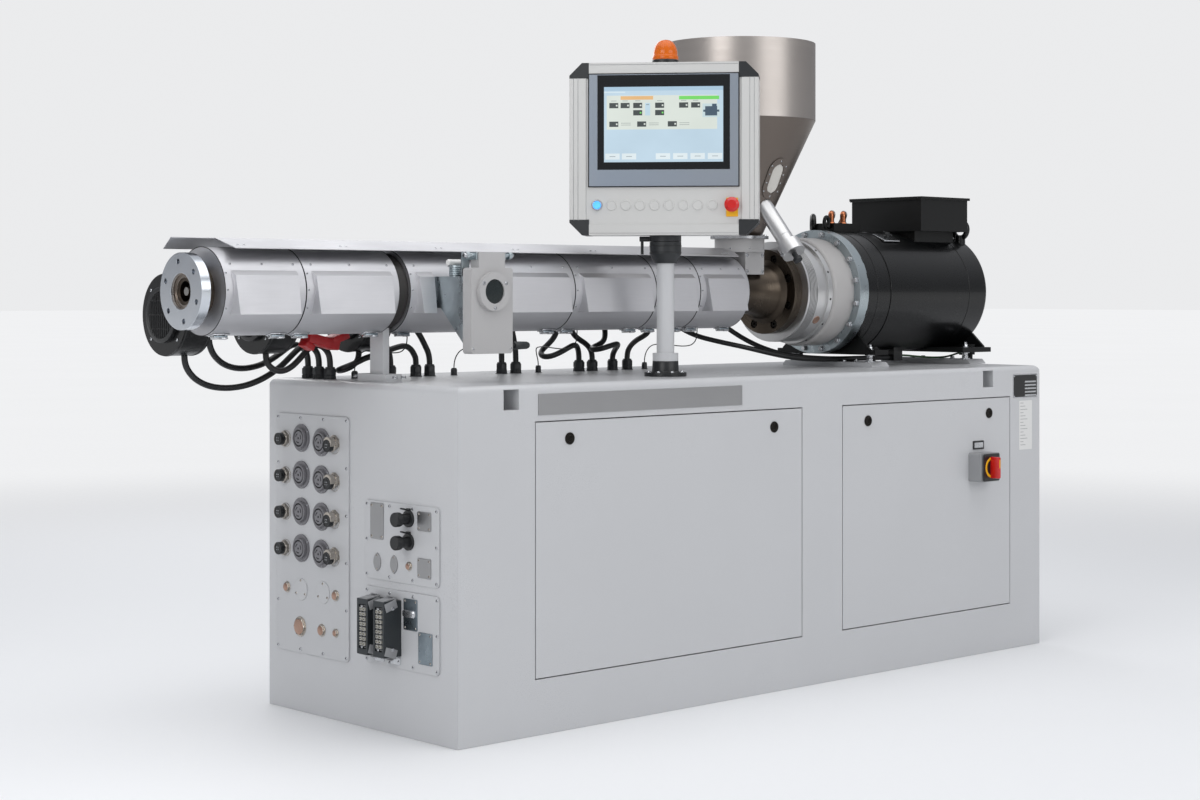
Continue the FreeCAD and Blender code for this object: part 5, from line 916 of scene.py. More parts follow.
# beacon: a ribbed dome over its reflector, on a black foot
lampAt = at("beacon", (0.5, 0.5, 0))
bm = bmesh.new()
turn(bm, lampAt, (0, 0, 1), [(0, 35.6), (2, 36), (11, 36), (13, 34.5), (13, 30)], steps=48)
finishPiece(bm, "beacon_foot", "black_plastic", body="panel", slot="plastic_black")
bm = bmesh.new()
profile = [(13, 34.5), (16, 35.4), (22, 34.9), (25, 33.2), (27, 33.0)]
profile += [(27 + 41 * math.sin(a), 33.0 * math.cos(a) ** 0.8 if a < 1.5 else 0)
            for a in (math.pi / 2 * k / 12 for k in range(1, 12))] + [(68, 0)]
turn(bm, lampAt, (0, 0, 1), profile, steps=72)
for vert in bm.verts:
    arm = Vector((vert.co.x - lampAt.x, vert.co.y - lampAt.y))
    if arm.length > 1 and vert.co.z - lampAt.z > 26:
        spread = 1 + 0.018 * math.cos(18 * math.atan2(arm.y, arm.x))
        vert.co.x, vert.co.y = lampAt.x + arm.x * spread * 0.98, lampAt.y + arm.y * spread * 0.98
lens = finishPiece(bm, "beacon_lens", "beacon_orange", body="panel")
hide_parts("beacon")
bm = bmesh.new()
turn(bm, lampAt, (0, 0, 1), [(13, 9), (20, 9), (21, 12), (40, 18), (41, 7), (54, 7), (56, 3),
                             (56, 0)], steps=24)
finishPiece(bm, "beacon_bulb", "beacon_core", body="panel", slot="beacon_orange")

# back of the panel: the seam round its cover sheet, and its screws
bm = bmesh.new()
for x in (-214, 214):
    block(bm, (x, 50.2, 1484), (1.4, 0.8, 384), 0.2)
for z in (1292, 1676):
    block(bm, (0, 50.2, z), (428, 0.8, 1.4), 0.2)
finishOnPanel(bm, "panel_back_seam", "mid_grey", "panel_grey")
bm = bmesh.new()
for x in (-224, 0, 224):
    for z in (1282, 1687):
        panScrew(bm, (x, 49.8, z), (0, 1, 0), 4.0, 2.2, inner=1)
# near-black screw sockets: painted shade
finishOnPanel(bm, "panel_back_screws", ["bright_zinc", "dark_gap"], "nickel")

# post: rings on the coupling, the foot flange with its collar, and screws on the flange
bm = bmesh.new()
for z, radius in ((1204, 44.0), (1222, 44.0)):
    turn(bm, (-315, -240, z), (0, 0, 1), [(0, radius - 1.2), (0.8, radius), (3.2, radius),
                                          (4.0, radius - 1.2)], steps=48)
turn(bm, (-315, -240, 870), (0, 0, 1), [(0.1, 57.4), (10.2, 57.4), (10.8, 56.6), (10.8, 40),
                                        (14, 36.5), (42, 35), (44, 33.5), (44, 24.2)], steps=64)
finishPiece(bm, "post_rings", "black_plastic", slot="plastic_black")
bm = bmesh.new()
for k in range(8):
    angle = math.radians(22.5 + 45 * k)
    spot = (-315 + 48.5 * math.cos(angle), -240 + 48.5 * math.sin(angle), 880.4)
    capScrew(bm, spot, (0, 0, 1), 3.6, 4.6, inner=1)
finishScrews(bm, "post_screws")
print("operator panel dressed with", len(areas), "display areas")

# barrel: seam rings, screws, latches, guard screws, lead screw flights
zones = [(-1632, -1401), (-1401, -1118), (-1085, -805), (-805, -524), (-524, -218), (-218, -44),
         (-44, 160)]
shroud = {"radius": 107.0, "z": 1100.0}


def onShroud(x, angle, lift=0.0):
    turned = math.radians(angle)
    out = Vector((0, -math.cos(turned), math.sin(turned)))
    return Vector((x, 0, shroud["z"])) + out * (shroud["radius"] + lift), out


bm = bmesh.new()
for low, high in zones:
    wide = high - low
    spots = [low + 26, (low + high) / 2, high - 26] if wide > 190 else [low + 22, high - 22]
    for x in spots:
        spot, out = onShroud(x, 37.5, -0.2)
        panScrew(bm, spot, out, 3.2, 2.4, inner=1, spin=random.random())
        spot, out = onShroud(x, 180 - 37.5, -0.2)
        panScrew(bm, spot, out, 3.2, 2.4, inner=1, spin=random.random())
    for angle in (24, 2, -22, 158, 180, 202):
        spot, out = onShroud(low + 7, angle, -0.2)
        panScrew(bm, spot, out, 2.7, 2.2, inner=1, spin=random.random())
finishScrews(bm, "shroud_screws")

bm = bmesh.new()
for low, high in zones:
    for x in (low + 0.5, high - 1.5):
        turn(bm, (x, 0, shroud["z"]), (1, 0, 0), [(0, 105.5), (0, 107.45), (1.0, 107.45),
                                                  (1.0, 105.5)], steps=96)
finishPiece(bm, "shroud_seams", "dark_gap", slot="shroud_steel")

# the dark ring of the barrel support, seen in the gap between two shrouds
bm = bmesh.new()
turn(bm, (-1117, 0, shroud["z"]), (1, 0, 0), [(0, 84), (0, 97), (31, 97), (31, 84)], steps=96)
finishPiece(bm, "support_ring", "ring_black", slot="barrel_steel")

# toggle latches under the shrouds, two a zone
bm = bmesh.new()
for low, high in zones:
    for x in ((low + 34, high - 34) if high - low > 190 else (low + 40, high - 30)):
        spot, out = onShroud(x, -76, 0)
        lean = Matrix.Rotation(math.radians(-14), 4, "X")
        block(bm, spot + out * 1.2, (48, 24, 2.4), 0.5, lean)
        block(bm, spot + out * 6.2 + Vector((-4, 3, 0)), (30, 14, 9.0), 1.6, lean)
        block(bm, spot + out * 9.6 + Vector((10, -4, 0)), (18, 10, 4.0), 1.2, lean)
        for side in (-1, 1):
            block(bm, spot + out * 4.4 + Vector((-1, side * 8.4, 0)), (38, 2.6, 4.6),
                  0.6, lean, tone=1)
            panScrew(bm, spot + out * 2.0 + Vector((side * 15, 0, 0)), out, 2.6, 1.8)
        turn(bm, spot + out * 5.0 + Vector((14, -9, 0)), (0, 1, 0), [(0, 0), (0, 2.6), (18, 2.6),
                                                                    (18, 0)], steps=12, tone=1)
finishPiece(bm, "shroud_latches", ["bright_zinc", "zinc_plain"], slot="nickel")

guard = {"high": at("heat_guard", (1, 1, 1)), "drop": 25.0}
bm = bmesh.new()
for x in (-1560, -1260, -960, -700, -420, -120, 100):
    for side in (-1, 1):
        for step in (-9, 9):
            panScrew(bm, (x + step, side * 62, guard["high"].z - guard["drop"] * 62 / 90 - 0.2),
                     Vector((0, side * guard["drop"], 90)).normalized(), 3.0, 1.6)
finishZinc(bm, "guard_screws")

# screw flights in the bore
flight = {"pitch": 50.0, "outer": 24.4, "root": 17.6, "from": -1640.0, "to": 300.0}
bm = bmesh.new()
rows = []
steps = int((flight["to"] - flight["from"]) / flight["pitch"] * 20)
for k in range(steps + 1):
    along = flight["from"] + (flight["to"] - flight["from"]) * k / steps
    angle = 2 * math.pi * (along - flight["from"]) / flight["pitch"]
    out = Vector((0, math.cos(angle), math.sin(angle)))
    middle = Vector((along, 0, 1100))
    rows.append([bm.verts.new(middle + out * reach + Vector((shift, 0, 0)))
                 for reach, shift in ((flight["root"], -3.4), (flight["outer"], -2.2),
                                      (flight["outer"], 2.2), (flight["root"], 3.4))])
for a, b in zip(rows, rows[1:]):
    for k in range(3):
        bm.faces.new((a[k], a[k + 1], b[k + 1], b[k]))
bm.faces.new(rows[0])
bm.faces.new(rows[-1])
finishPiece(bm, "screw_flights", "screw_steel", body="screw")

# nose: seat rings in the bore and the red wiring cover under the barrel
bm = bmesh.new()
face = at("die_flange", (0, 0.5, 0.5)).x
turn(bm, (face, 0, 1100), (1, 0, 0), [(2.0, 47), (4.2, 46.4), (4.2, 41), (9.5, 40), (9.5, 33),
                                      (15, 32), (15, 26.4)], steps=64)
finishPiece(bm, "nose_rings", "nose_steel", slot="barrel_steel")
bm = bmesh.new()
block(bm, (-1202, 118, 972), (96, 44, 26), 4, Matrix.Rotation(0.24, 4, "Y"))
block(bm, (-1150, 118, 981), (52, 46, 20), 5, Matrix.Rotation(-0.3, 4, "Y"))
block(bm, (-1244, 118, 962), (30, 36, 16), 4, Matrix.Rotation(0.5, 4, "Y"))
finishPiece(bm, "wiring_cover", "red_plastic", slot="painted_cream")

# screws in the barrel support's foot
bm = bmesh.new()
for y in (-82, 82):
    for x in (-1115, -1088):
        hexScrew(bm, (x, y, 880), (0, 0, 1), 6.5, 6)
finishZinc(bm, "support_bolts")
print("barrel furniture built")

# vent: screws, pivots, stub, peg and grip
vent = {"x": -936.0, "z": 1100.0}
bm = bmesh.new()
for angle in (150, 30, 270):
    turned = math.radians(angle)
    spot = (vent["x"] + 42 * math.cos(turned), -262.0 + 0.3, vent["z"] + 42 * math.sin(turned))
    capScrew(bm, (spot[0], -261.7, spot[2]), onFront, 2.8, 3.2, inner=1)
finishScrews(bm, "sight_screws", body="vent_cover")
bm = bmesh.new()
for x in (-997, -875):
    for z in (956,):
        panScrew(bm, (x, -249.6, z), onFront, 3.2, 2.0, inner=1)
finishScrews(bm, "cover_screws", body="vent_cover")
bm = bmesh.new()
for x, way in ((-1009.6, (-1, 0, 0)), (-863.4, (1, 0, 0))):
    hexScrew(bm, (x, -235, 1191), way, 6.5, 7)
finishZinc(bm, "vent_pivots")
bm = bmesh.new()
rings = [(0, 21), (4, 21), (4, 17)]
for k in range(5):
    rings += [(6 + k * 5, 17), (7 + k * 5, 18.4), (9.4 + k * 5, 18.4), (10.4 + k * 5, 17)]
rings += [(33, 17), (33, 14), (28, 13.4), (28, 0)]
turn(bm, (-972, -150, 1134), (0, 0, 1), rings, steps=36)
finishPiece(bm, "vent_stub", "galvanised")
bm = bmesh.new()
turn(bm, (-1000, -150, 1174), (1, 0, 0), [(0, 0), (0, 6), (1.5, 7.5), (56, 7.5), (57.5, 6),
                                         (57.5, 0)], steps=20)
finishPiece(bm, "vent_peg", "label_pale", slot="painted_cream")
bm = bmesh.new()
middle = at("vent_handle", (0, 0.5, 0.5))
turn(bm, middle, (1, 0, 0), [(0, 7.2), (3, 7.2), (3, 5.2), (17, 5.2), (17, 8.4), (20, 10.2),
                             (34, 10.4), (60, 9.6), (65.5, 7.6), (66.6, 0)], steps=32)
grip = finishPiece(bm, "vent_grip", "plastic_black", body="vent_cover")
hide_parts("vent_handle")
print("vent dressed")

# hopper: window with its frame bent onto the cone, rim, seam band, collars
cone = {"x": 228.0, "low": (1265.0, 66.0), "high": (1606.0, 225.0)}


def onCone(u, z, lift):
    # u is the distance round the cone from the side that faces the operator
    share = (z - cone["low"][0]) / (cone["high"][0] - cone["low"][0])
    radius = cone["low"][1] + (cone["high"][1] - cone["low"][1]) * share
    angle = u / max(radius, 1)
    lean = math.atan2(cone["high"][1] - cone["low"][1], cone["high"][0] - cone["low"][0])
    out = Vector((math.sin(angle) * math.cos(lean), -math.cos(angle) * math.cos(lean),
                  -math.sin(lean)))
    return Vector((cone["x"] + radius * math.sin(angle), -radius * math.cos(angle),
            z)) + out * lift


def capsule(halfWide, low, high, steps=12):
    points = [(halfWide * math.cos(math.pi * k / steps), high - halfWide
               + halfWide * math.sin(math.pi * k / steps)) for k in range(steps + 1)]
    points += [(-halfWide * math.cos(math.pi * k / steps), low + halfWide
                - halfWide * math.sin(math.pi * k / steps)) for k in range(steps + 1)]
    return points


bm = bmesh.new()
outer, inner = capsule(36, 1372, 1490), capsule(22, 1389, 1473)
loops = [[bm.verts.new(onCone(u, z, lift)) for u, z in line] for line, lift in
         ((outer, 0.0), (outer, 2.6), (inner, 3.2), (inner, 0.8))]
for a, b in zip(loops, loops[1:]):
    for k in range(len(a)):
        n = (k + 1) % len(a)
        bm.faces.new((a[k], a[n], b[n], b[k]))
finishPiece(bm, "window_frame", "stainless")
bm = bmesh.new()
rows = []
for k in range(13):
    z = 1389 + 84 * k / 12
    top = min(z - 1389, 1473 - z)
    reach = 22 if top > 22 else math.sqrt(max(0, 22 ** 2 - (22 - top) ** 2))
    rows.append([bm.verts.new(onCone(reach * s, z, 1.2 + 0.8 * (1 - s * s)))
                 for s in (-1, -0.5, 0, 0.5, 1)])
for a, b in zip(rows, rows[1:]):
    for k in range(4):
        bm.faces.new((a[k], a[k + 1], b[k + 1], b[k]))
bmesh.ops.remove_doubles(bm, verts=bm.verts, dist=0.01)
finishPiece(bm, "window_pane", "window_white", slot="stainless")
bm = bmesh.new()
for u, z in ((0, 1481), (0, 1381), (29, 1467), (-29, 1467), (29, 1443), (-29, 1443), (29, 1419),
             (-29, 1419), (29, 1395), (-29, 1395)):
    spot = onCone(u, z, 2.0)
    panScrew(bm, spot, onCone(u, z, 10) - spot, 3.0, 2.4, inner=1)
finishScrews(bm, "window_screws")
bm = bmesh.new()
turn(bm, (cone["x"], 0, 1265), (0, 0, 1), [(-0.2, 86.4), (-8.2, 86.4)], steps=64)
for k in range(8):
    angle = math.radians(45 * k + 10)
    hexScrew(bm, (cone["x"] + 77 * math.cos(angle), 77 * math.sin(angle), 1264.8), (0, 0, 1),
             5.0, 5.5)
finishZinc(bm, "hopper_bolts")
bm = bmesh.new()
rimZ = at("hopper", (0, 0, 1)).z
turn(bm, (cone["x"], 0, rimZ), (0, 0, 1), [(-4, 224.9), (-3, 224.9), (-0.3, 224.9), (0, 223.5),
                                         (-0.3, 222)], steps=128)
turn(bm, (cone["x"], 0, 1606), (0, 0, 1), [(-1.6, 223.6), (-0.8, 225.0), (0.8, 225.0),
                                         (1.8, 224.6)], steps=128)
finishPiece(bm, "hopper_seams", "stainless")

# feed throat: cover screws and the face screws on the throat block
bm = bmesh.new()
for k in range(8):
    angle = math.radians(45 * k + 22.5)
    panScrew(bm, (cone["x"] + 73.6 * math.cos(angle), 73.6 * math.sin(angle), 1228),
             (math.cos(angle), math.sin(angle), 0), 3.0, 1.8, inner=1)
for x, z in ((196, 1160), (260, 1160), (196, 1208), (260, 1208)):
    capScrew(bm, (x, -61.6, z), onFront, 3.2, 3.6, inner=1)
turn(bm, (cone["x"], 0, 1217), (0, 0, 1), [(9.5, 74.0), (10.0, 74.4), (11.6, 74.4),
                                         (12.2, 74.0)], steps=96, tone=2)
# near-black screw sockets: painted shade
finishPiece(bm, "throat_screws", ["bright_zinc", "dark_gap", "painted_cream"], slot="nickel")

# discharge pipe: clamp rings and a screw near the knob
pipeEnd, pipeWay = Vector((228, -218.65, 1210.64)), Vector((0, -0.643, -0.766))
bm = bmesh.new()
turn(bm, pipeEnd, pipeWay, [(-64, 24.5), (-62, 25.6), (-60, 24.8), (-30, 24.8), (-28, 26.4),
                            (-14, 26.4), (-12, 25)], steps=48)
finishPiece(bm, "pipe_rings", "turned_aluminium")
bm = bmesh.new()
capScrew(bm, pipeEnd + pipeWay * -8 + Vector((-31, 8, -6)), (0, 0.766, -0.643), 4.5, 10,
         inner=1)
finishScrews(bm, "pipe_clamp_screw")

# gear end: socket bolts, plug, ring screws, flange bolts
bm = bmesh.new()
for k in range(8):
    angle = math.radians(22.5 + 45 * k)
    spot = (333.2 + 9, 105 * math.cos(angle), 1100 + 105 * math.sin(angle))
    turn(bm, spot, (-1, 0, 0), [(0, 9.4), (7.0, 9.4), (8.2, 8.6), (8.2, 5.0, 6)], steps=24)
    turn(bm, spot, (-1, 0, 0), [(8.2, 5.0, 6), (3.0, 4.8, 6), (2.8, 0)], steps=24)
finishPiece(bm, "flange_bolts", "black_steel", slot="barrel_steel")
# near-black discs on the flange face stand for its small holes: painted shade
bm = bmesh.new()
for k in range(4):
    angle = math.radians(90 * k)
    turn(bm, (333.4, 105 * math.cos(angle), 1100 + 105 * math.sin(angle)), (-1, 0, 0),
         [(0, 4.4), (0.25, 4.4), (0.3, 0)], steps=20)
finishPiece(bm, "flange_holes", "dark_gap", slot="barrel_steel")
bm = bmesh.new()
for x, radius, wide in ((166, 74.5, 3.0), (173, 74.5, 2.0)):
    turn(bm, (x, 0, 1100), (1, 0, 0), [(0, radius), (wide, radius)], steps=72)
turn(bm, (319, 0, 1100), (1, 0, 0), [(0, 82.0), (3, 84), (10, 92), (14.0, 96), (14.2, 82)],
     steps=96)
finishPiece(bm, "neck_rings", "barrel_steel")
bm = bmesh.new()
angle = math.radians(-34)
out = Vector((0, -math.cos(angle), math.sin(angle)))
turn(bm, Vector((428, 0, 1100)) + out * 149, out, [(0, 13.5), (2.6, 13.5), (3.2, 12.4), (3.2, 9),
                                                  (2.6, 8.4), (2.6, 0)], steps=36)
finishPiece(bm, "housing_plug", "brown_cap", slot="barrel_steel")
bm = bmesh.new()
for k in range(12):
    angle = math.radians(30 * k + 8)
    out = Vector((0, math.cos(angle), math.sin(angle)))
    panScrew(bm, Vector((458, 0, 1100)) + out * 157.6, out, 3.6, 1.4, tone=1, inner=1)
for k in range(16):
    angle = math.radians(22.5 * k + 11.25)
    spot = Vector((556.2, 177.5 * math.cos(angle), 1100 + 177.5 * math.sin(angle)))
    hexScrew(bm, spot, (-1, 0, 0), 7.6, 9.4, spin=random.random())
finishScrews(bm, "housing_bolts")
# near-black rings at the groove bottoms: painted shade
bm = bmesh.new()
for k in range(6):
    x = 375 + 6 * k
    turn(bm, (x, 0, 1100), (1, 0, 0), [(0, 148.2), (3, 148.2)], steps=128, tone=1)
    turn(bm, (x + 3, 0, 1100), (1, 0, 0), [(0.1, 150.6), (0.7, 151.3), (2.3, 151.3), (2.9, 150.6)],
         steps=128)
finishPiece(bm, "housing_grooves", ["turned_aluminium", "dark_gap"])
print("hopper and gear end dressed")

# motor: seams, clips, box bolts, eyes, valve plate, foot bolts, nut stacks
bm = bmesh.new()
for x in (640, 704, 1090):
    turn(bm, (x, 0, 1100), (1, 0, 0), [(0, 186.8), (0.6, 188.0), (4.6, 188.0), (5.2, 186.8)],
         steps=128)
for angle in (200, 214, 150, 165):
    turned = math.radians(angle)
    out = Vector((0, math.cos(turned), math.sin(turned)))
    lean = Matrix.Rotation(turned, 4, "X")
    block(bm, Vector((597, 0, 1100)) + out * 188.4, (9, 3.4, 18), 1.0, lean)
finishPiece(bm, "motor_bands", "painted_black")
bm = bmesh.new()
turn(bm, (1186, -150, 1080), (1, 0, 0), [(-2, 8), (0, 8)], steps=20)
for k in range(8):
    angle = math.radians(45 * k + 22.5)
    panScrew(bm, (1184.2, 168 * math.cos(angle), 1100 + 168 * math.sin(angle)), (1, 0, 0), 6.0,
             1.6)
finishPiece(bm, "motor_rear_screws", "black_steel", slot="painted_black")
bm = bmesh.new()
boxLow, boxHigh = at("terminal_box", (0, 0, 0)), at("terminal_box", (1, 1, 1))
for x in (boxLow.x + 12, (boxLow.x + boxHigh.x) / 2, boxHigh.x - 12):
    for y in (boxLow.y + 10, boxHigh.y - 10):
        turn(bm, (x, y, boxHigh.z - 8), (0, 0, 1), [(0, 5.4), (5.0, 5.4), (7.4, 4.2), (7.4, 0)],
             steps=16)
block(bm, (boxLow.x + 1.5, 0, boxHigh.z - 9), (3, 290, 4), 0.8)
finishPiece(bm, "box_bolts", "box_black")

# lifting eyes behind the terminal box and ahead of the manifold
for name, x, z in (("rear_eye", 1158, 1296), ("front_eye", 618, 1294)):
    ring = [(x + (17 if name == "rear_eye" else 11) * math.cos(a), 0,
             z + 20 + 18 * math.sin(a)) for a in (math.radians(-60 + 25 * k) for k in range(13))]
    rod(name, ring, 6.0, "box_black")

bm = bmesh.new()
tilt = Matrix.Rotation(math.radians(24), 4, "X")
block(bm, (800, -86, 1269), (76, 52, 4), 0.8, tilt)
finishPiece(bm, "valve_plate", "bright_zinc", slot="galvanised")
bm = bmesh.new()
up = tilt @ Vector((0, 0, 1))
spot = Vector((800, -86, 1269)) + up * 2
turn(bm, spot, up, [(0, 10), (3, 10), (4, 7), (10, 6), (10, 0)], steps=24)
for k in range(4):
    way = tilt @ Matrix.Rotation(math.radians(90 * k + 20), 4, "Z")
    block(bm, spot + up * 12 + (way @ Vector((8, 0, 0))), (16, 6, 5), 1.6, way)
turn(bm, spot + up * 8, up, [(0, 7), (7, 7), (8, 5.6), (8, 0)], steps=20)
finishPiece(bm, "valve_knob", "black_plastic", slot="plastic_black")

# copper elbows: clamps and shiny ends over the CAD pipes
bm = bmesh.new()
for x in (668, 724):
    out = Vector((math.cos(math.radians(35)), math.sin(math.radians(35)), 0))
    spot = Vector((x, 25, 1345)) + out * 17
    turn(bm, spot, out, [(0, 9.6), (0.6, 10.4), (7.4, 10.4), (8, 9.6)], steps=28)
    block(bm, spot + out * 4 + Vector((0, 0, 8.0)), (8, 9, 3.6), 1.0)
    turn(bm, (x, 25, 1308), (0, 0, 1), [(0, 13), (2, 13), (2, 12, 6), (9, 12, 6), (10, 10.4)],
         steps=24, tone=1)
finishPiece(bm, "pipe_clamps", ["bright_zinc", "copper"], slot="galvanised")
for name, x in (("near_elbow", 668), ("far_elbow", 724)):
    c, s = math.cos(math.radians(35)), math.sin(math.radians(35))
    rod(name, [(x, 25, 1310), (x, 25, 1329), (x, 25, 1345), (x + 15 * c, 25 + 15 * s, 1345),
               (x + 18 * c, 25 + 18 * s, 1345)], 9.5, "copper")

bm = bmesh.new()
for x0 in (643, 1112):
    for side in (-1, 1):
        spot = Vector((x0, side * 153, 923))
        hexScrew(bm, spot, (0, 0, 1), 9.5, 9)
        turn(bm, spot + Vector((0, 0, 8)), (0, 0, 1), [(0, 5.5), (7, 5.5), (8, 4.6), (8, 0)],
             steps=18)
        turn(bm, (x0, side * 153, 885), (0, 0, 1), [(0.2, 16), (3.4, 16), (3.4, 11, 6),
                                                    (11.6, 11, 6), (12.4, 9.6)], steps=24)
        turn(bm, (x0, side * 153, 907.8), (0, 0, -1), [(0.2, 15), (2.6, 15), (2.6, 10.6, 6),
                                                       (9, 10.6, 6), (9.6, 9)], steps=24)
finishZinc(bm, "jack_nuts")
bm = bmesh.new()
for x in (630, 684, 1110, 1165):
    for side in (-1, 1):
        hexScrew(bm, (x, side * 60, 884.8), (0, 0, 1), 7.5, 6.5)
finishZinc(bm, "rail_bolts")
print("motor dressed")

# end face sockets: raised rings, curved slots, contacts and inserts
sock = {"rows": [717, 621, 525, 429], "ys": [242, 152], "stagger": 7, "face": -1171.5}
sockLow, sockHigh = at("heater_sockets", (0, 0, 0)), at("heater_sockets", (1, 1, 1))
centres = [(y, z - 7 * j) for z in sock["rows"] for j, y in enumerate(sock["ys"])]
top = sockLow.x
bm = bmesh.new()
for y, z in centres:
    turn(bm, (top, y, z), onEnd, [(-6, 26.6), (1.6, 26.6), (2.4, 25.8), (2.4, 22.8),
                                  (0.2, 22.4), (0.2, 18.6), (1.8, 18.2), (2.4, 17.4),
                                  (2.4, 0)], steps=48)
finishPiece(bm, "socket_rings", "socket_grey")
# near-black groove ring, slot marks and centre disc on each socket face: painted shade in the groove, the
# slots and the hole
bm = bmesh.new()
for y, z in centres:
    turn(bm, (top, y, z), onEnd, [(0.3, 22.3), (0.35, 18.7)], steps=48)
    for first in (20, 140, 260):
        for k in range(6):
            angle = math.radians(first + 9 * k)
            block(bm, (top - 2.4, y + 11.5 * math.cos(angle), z + 11.5 * math.sin(angle)),
                  (0.5, 3.4, 2.6), 0.1, Matrix.Rotation(angle + math.pi / 2, 4, "X"))
    turn(bm, (top - 2.3, y, z), onEnd, [(0, 3.0), (0.3, 3.0), (0.35, 0)], steps=16)
finishPiece(bm, "socket_slots", "dark_gap", slot="socket_grey")
bm = bmesh.new()
for y, z in centres:
    for angle in (35, 145, 270):
        turned = math.radians(angle)
        panScrew(bm, (-1175.3, y + 31.5 * math.cos(turned), z + 31.5 * math.sin(turned)), onEnd,
                 2.6, 1.6, inner=1)
finishScrews(bm, "socket_screws")

sigLow, sigHigh = at("signal_sockets", (0, 0, 0)), at("signal_sockets", (1, 1, 1))
small = [(y, z - 7 * j - 5) for z in sock["rows"] for j, y in enumerate((sigHigh.y - 20,
                                                                         sigLow.y + 20))]
bm = bmesh.new()
for y, z in small:
    turn(bm, (sigLow.x, y, z), onEnd, [(-11.0, 16.4), (0.0, 16.4), (1.4, 15.4), (1.4, 13.4),
                                       (0.3, 13.0), (0.3, 8.4), (1.0, 8.2), (1.0, 0)],
         steps=32, tone=0)
    for k in range(4):
        angle = math.radians(90 * k + 45)
        turn(bm, (sigLow.x, y + 4.6 * math.cos(angle), z + 4.6 * math.sin(angle)), onEnd,
             [(0.6, 1.2), (1.5, 1.2), (1.8, 0.7), (1.8, 0)], steps=10, tone=1)
    block(bm, (sigLow.x - 0.1, y, z + 10.2), (1.6, 3, 2.2), 0.3, tone=0)
finishPiece(bm, "signal_inserts", ["black_plastic", "bright_zinc"], slot="plastic_black")
bm = bmesh.new()
for y, z in small:
    turn(bm, (-1171.6, y, z), onEnd, [(0, 22.4), (1.0, 22.4), (1.3, 21.6)], steps=40)
    turn(bm, (-1180.0, y, z), onEnd, [(0, 17.4), (2.2, 17.4), (2.8, 16.6), (5.6, 16.4)], steps=40)
finishPiece(bm, "signal_nuts", "nickel")
print("sockets dressed")

# heavy multipole connectors: contact blocks, levers and foot plates for the hoods
bm = bmesh.new()
con = {"front": -1225.5, "hoods": [(-94, 268), (-161, 268)]}
for y, z in con["hoods"]:
    # contact blocks in the pocket, two rows of ivory cells; the near-black block behind them and the
    # near-black marks on the cells are painted shade in the pocket and the contact holes
    block(bm, (con["front"] + 16, y, z), (26, 27, 104), 1.5, tone=3)
    for k in (-1, 1):
        for j in range(8):
            block(bm, (con["front"] + 3.0, y + 6.6 * k, z - 43 + 12.3 * j), (8, 9.6, 9.4), 1.6,
                  tone=1)
            block(bm, (con["front"] - 1.2, y + 6.6 * k, z - 43 + 12.3 * j), (1.2, 3.4, 4.4), 0.3,
                  tone=3)
    for side in (-1, 1):
        # locking levers fold over the hood's ends
        block(bm, (con["front"] + 22, y, z + side * 71.5), (42, 34, 3.6), 1.2,
              Matrix.Rotation(side * -0.14, 4, "Y"), tone=0)
        block(bm, (con["front"] + 40, y, z + side * 75.5), (16, 22, 3), 1.0,
              Matrix.Rotation(side * 0.5, 4, "Y"), tone=0)
        for edge in (-1, 1):
            block(bm, (con["front"] + 21, y + edge * 23.2, z + side * 58), (36, 2.4, 22), 1.0,
                  Matrix.Rotation(side * -0.3, 4, "Y"), tone=0)
            turn(bm, (con["front"] + 26, y + edge * 22.0, z + side * 51), (0, edge, 0),
                 [(0, 4.6), (3.2, 4.6), (3.8, 4.0), (3.8, 0)], steps=18, tone=2)
        turn(bm, (con["front"] - 0.4, y, z + side * 50.5), onEnd, [(-2, 3.2), (0.8, 3.2),
                                                                  (1.2, 2.6), (1.2, 0)],
             steps=14, tone=2)
finishPiece(bm, "connector_parts", ["mid_grey", "ivory", "bright_zinc", "dark_gap"],
            slot="socket_grey")
bm = bmesh.new()
for y, z in con["hoods"]:
    endPlate(bm, (-y - 20, z - 92), (-y + 20, z - 68), 3, -1171.5, 2.0, 0.4, tone=0)
    for side in (-1, 1):
        panScrew(bm, (-1173.3, y + side * 13, z - 84), onEnd, 3.2, 1.8, inner=1)
finishScrews(bm, "connector_feet")

# capped connectors: ribbed caps, and hinged lids beside them
bm = bmesh.new()
for y, z in ((-216, 541), (-216, 484)):
    rings = [(30, 17.4)]
    for k in range(4):
        rings += [(32 + 3.2 * k, 17.4), (33 + 3.2 * k, 18.0), (34 + 3.2 * k, 18.0),
                  (35 + 3.2 * k, 17.4)]
    rings += [(46.0, 17.0), (46.9, 16.0), (46.9, 0)]
    turn(bm, (-1171.5, y + 2, z), onEnd, rings, steps=36)
    turn(bm, (-1171.5, y + 2, z), onEnd, [(0, 21), (5.6, 21), (6.4, 20), (6.4, 13.4),
                                         (30, 13.4)], steps=36)
    block(bm, (-1184, y + 2, z + 23.5), (24, 12, 4), 1.2, Matrix.Rotation(0.25, 4, "Y"))
    turn(bm, (-1174, y - 5, z + 22), (0, 1, 0), [(0, 0), (0, 3.6), (14, 3.6), (14, 0)], steps=16)
finishPiece(bm, "connector_caps", "black_plastic", slot="plastic_black")

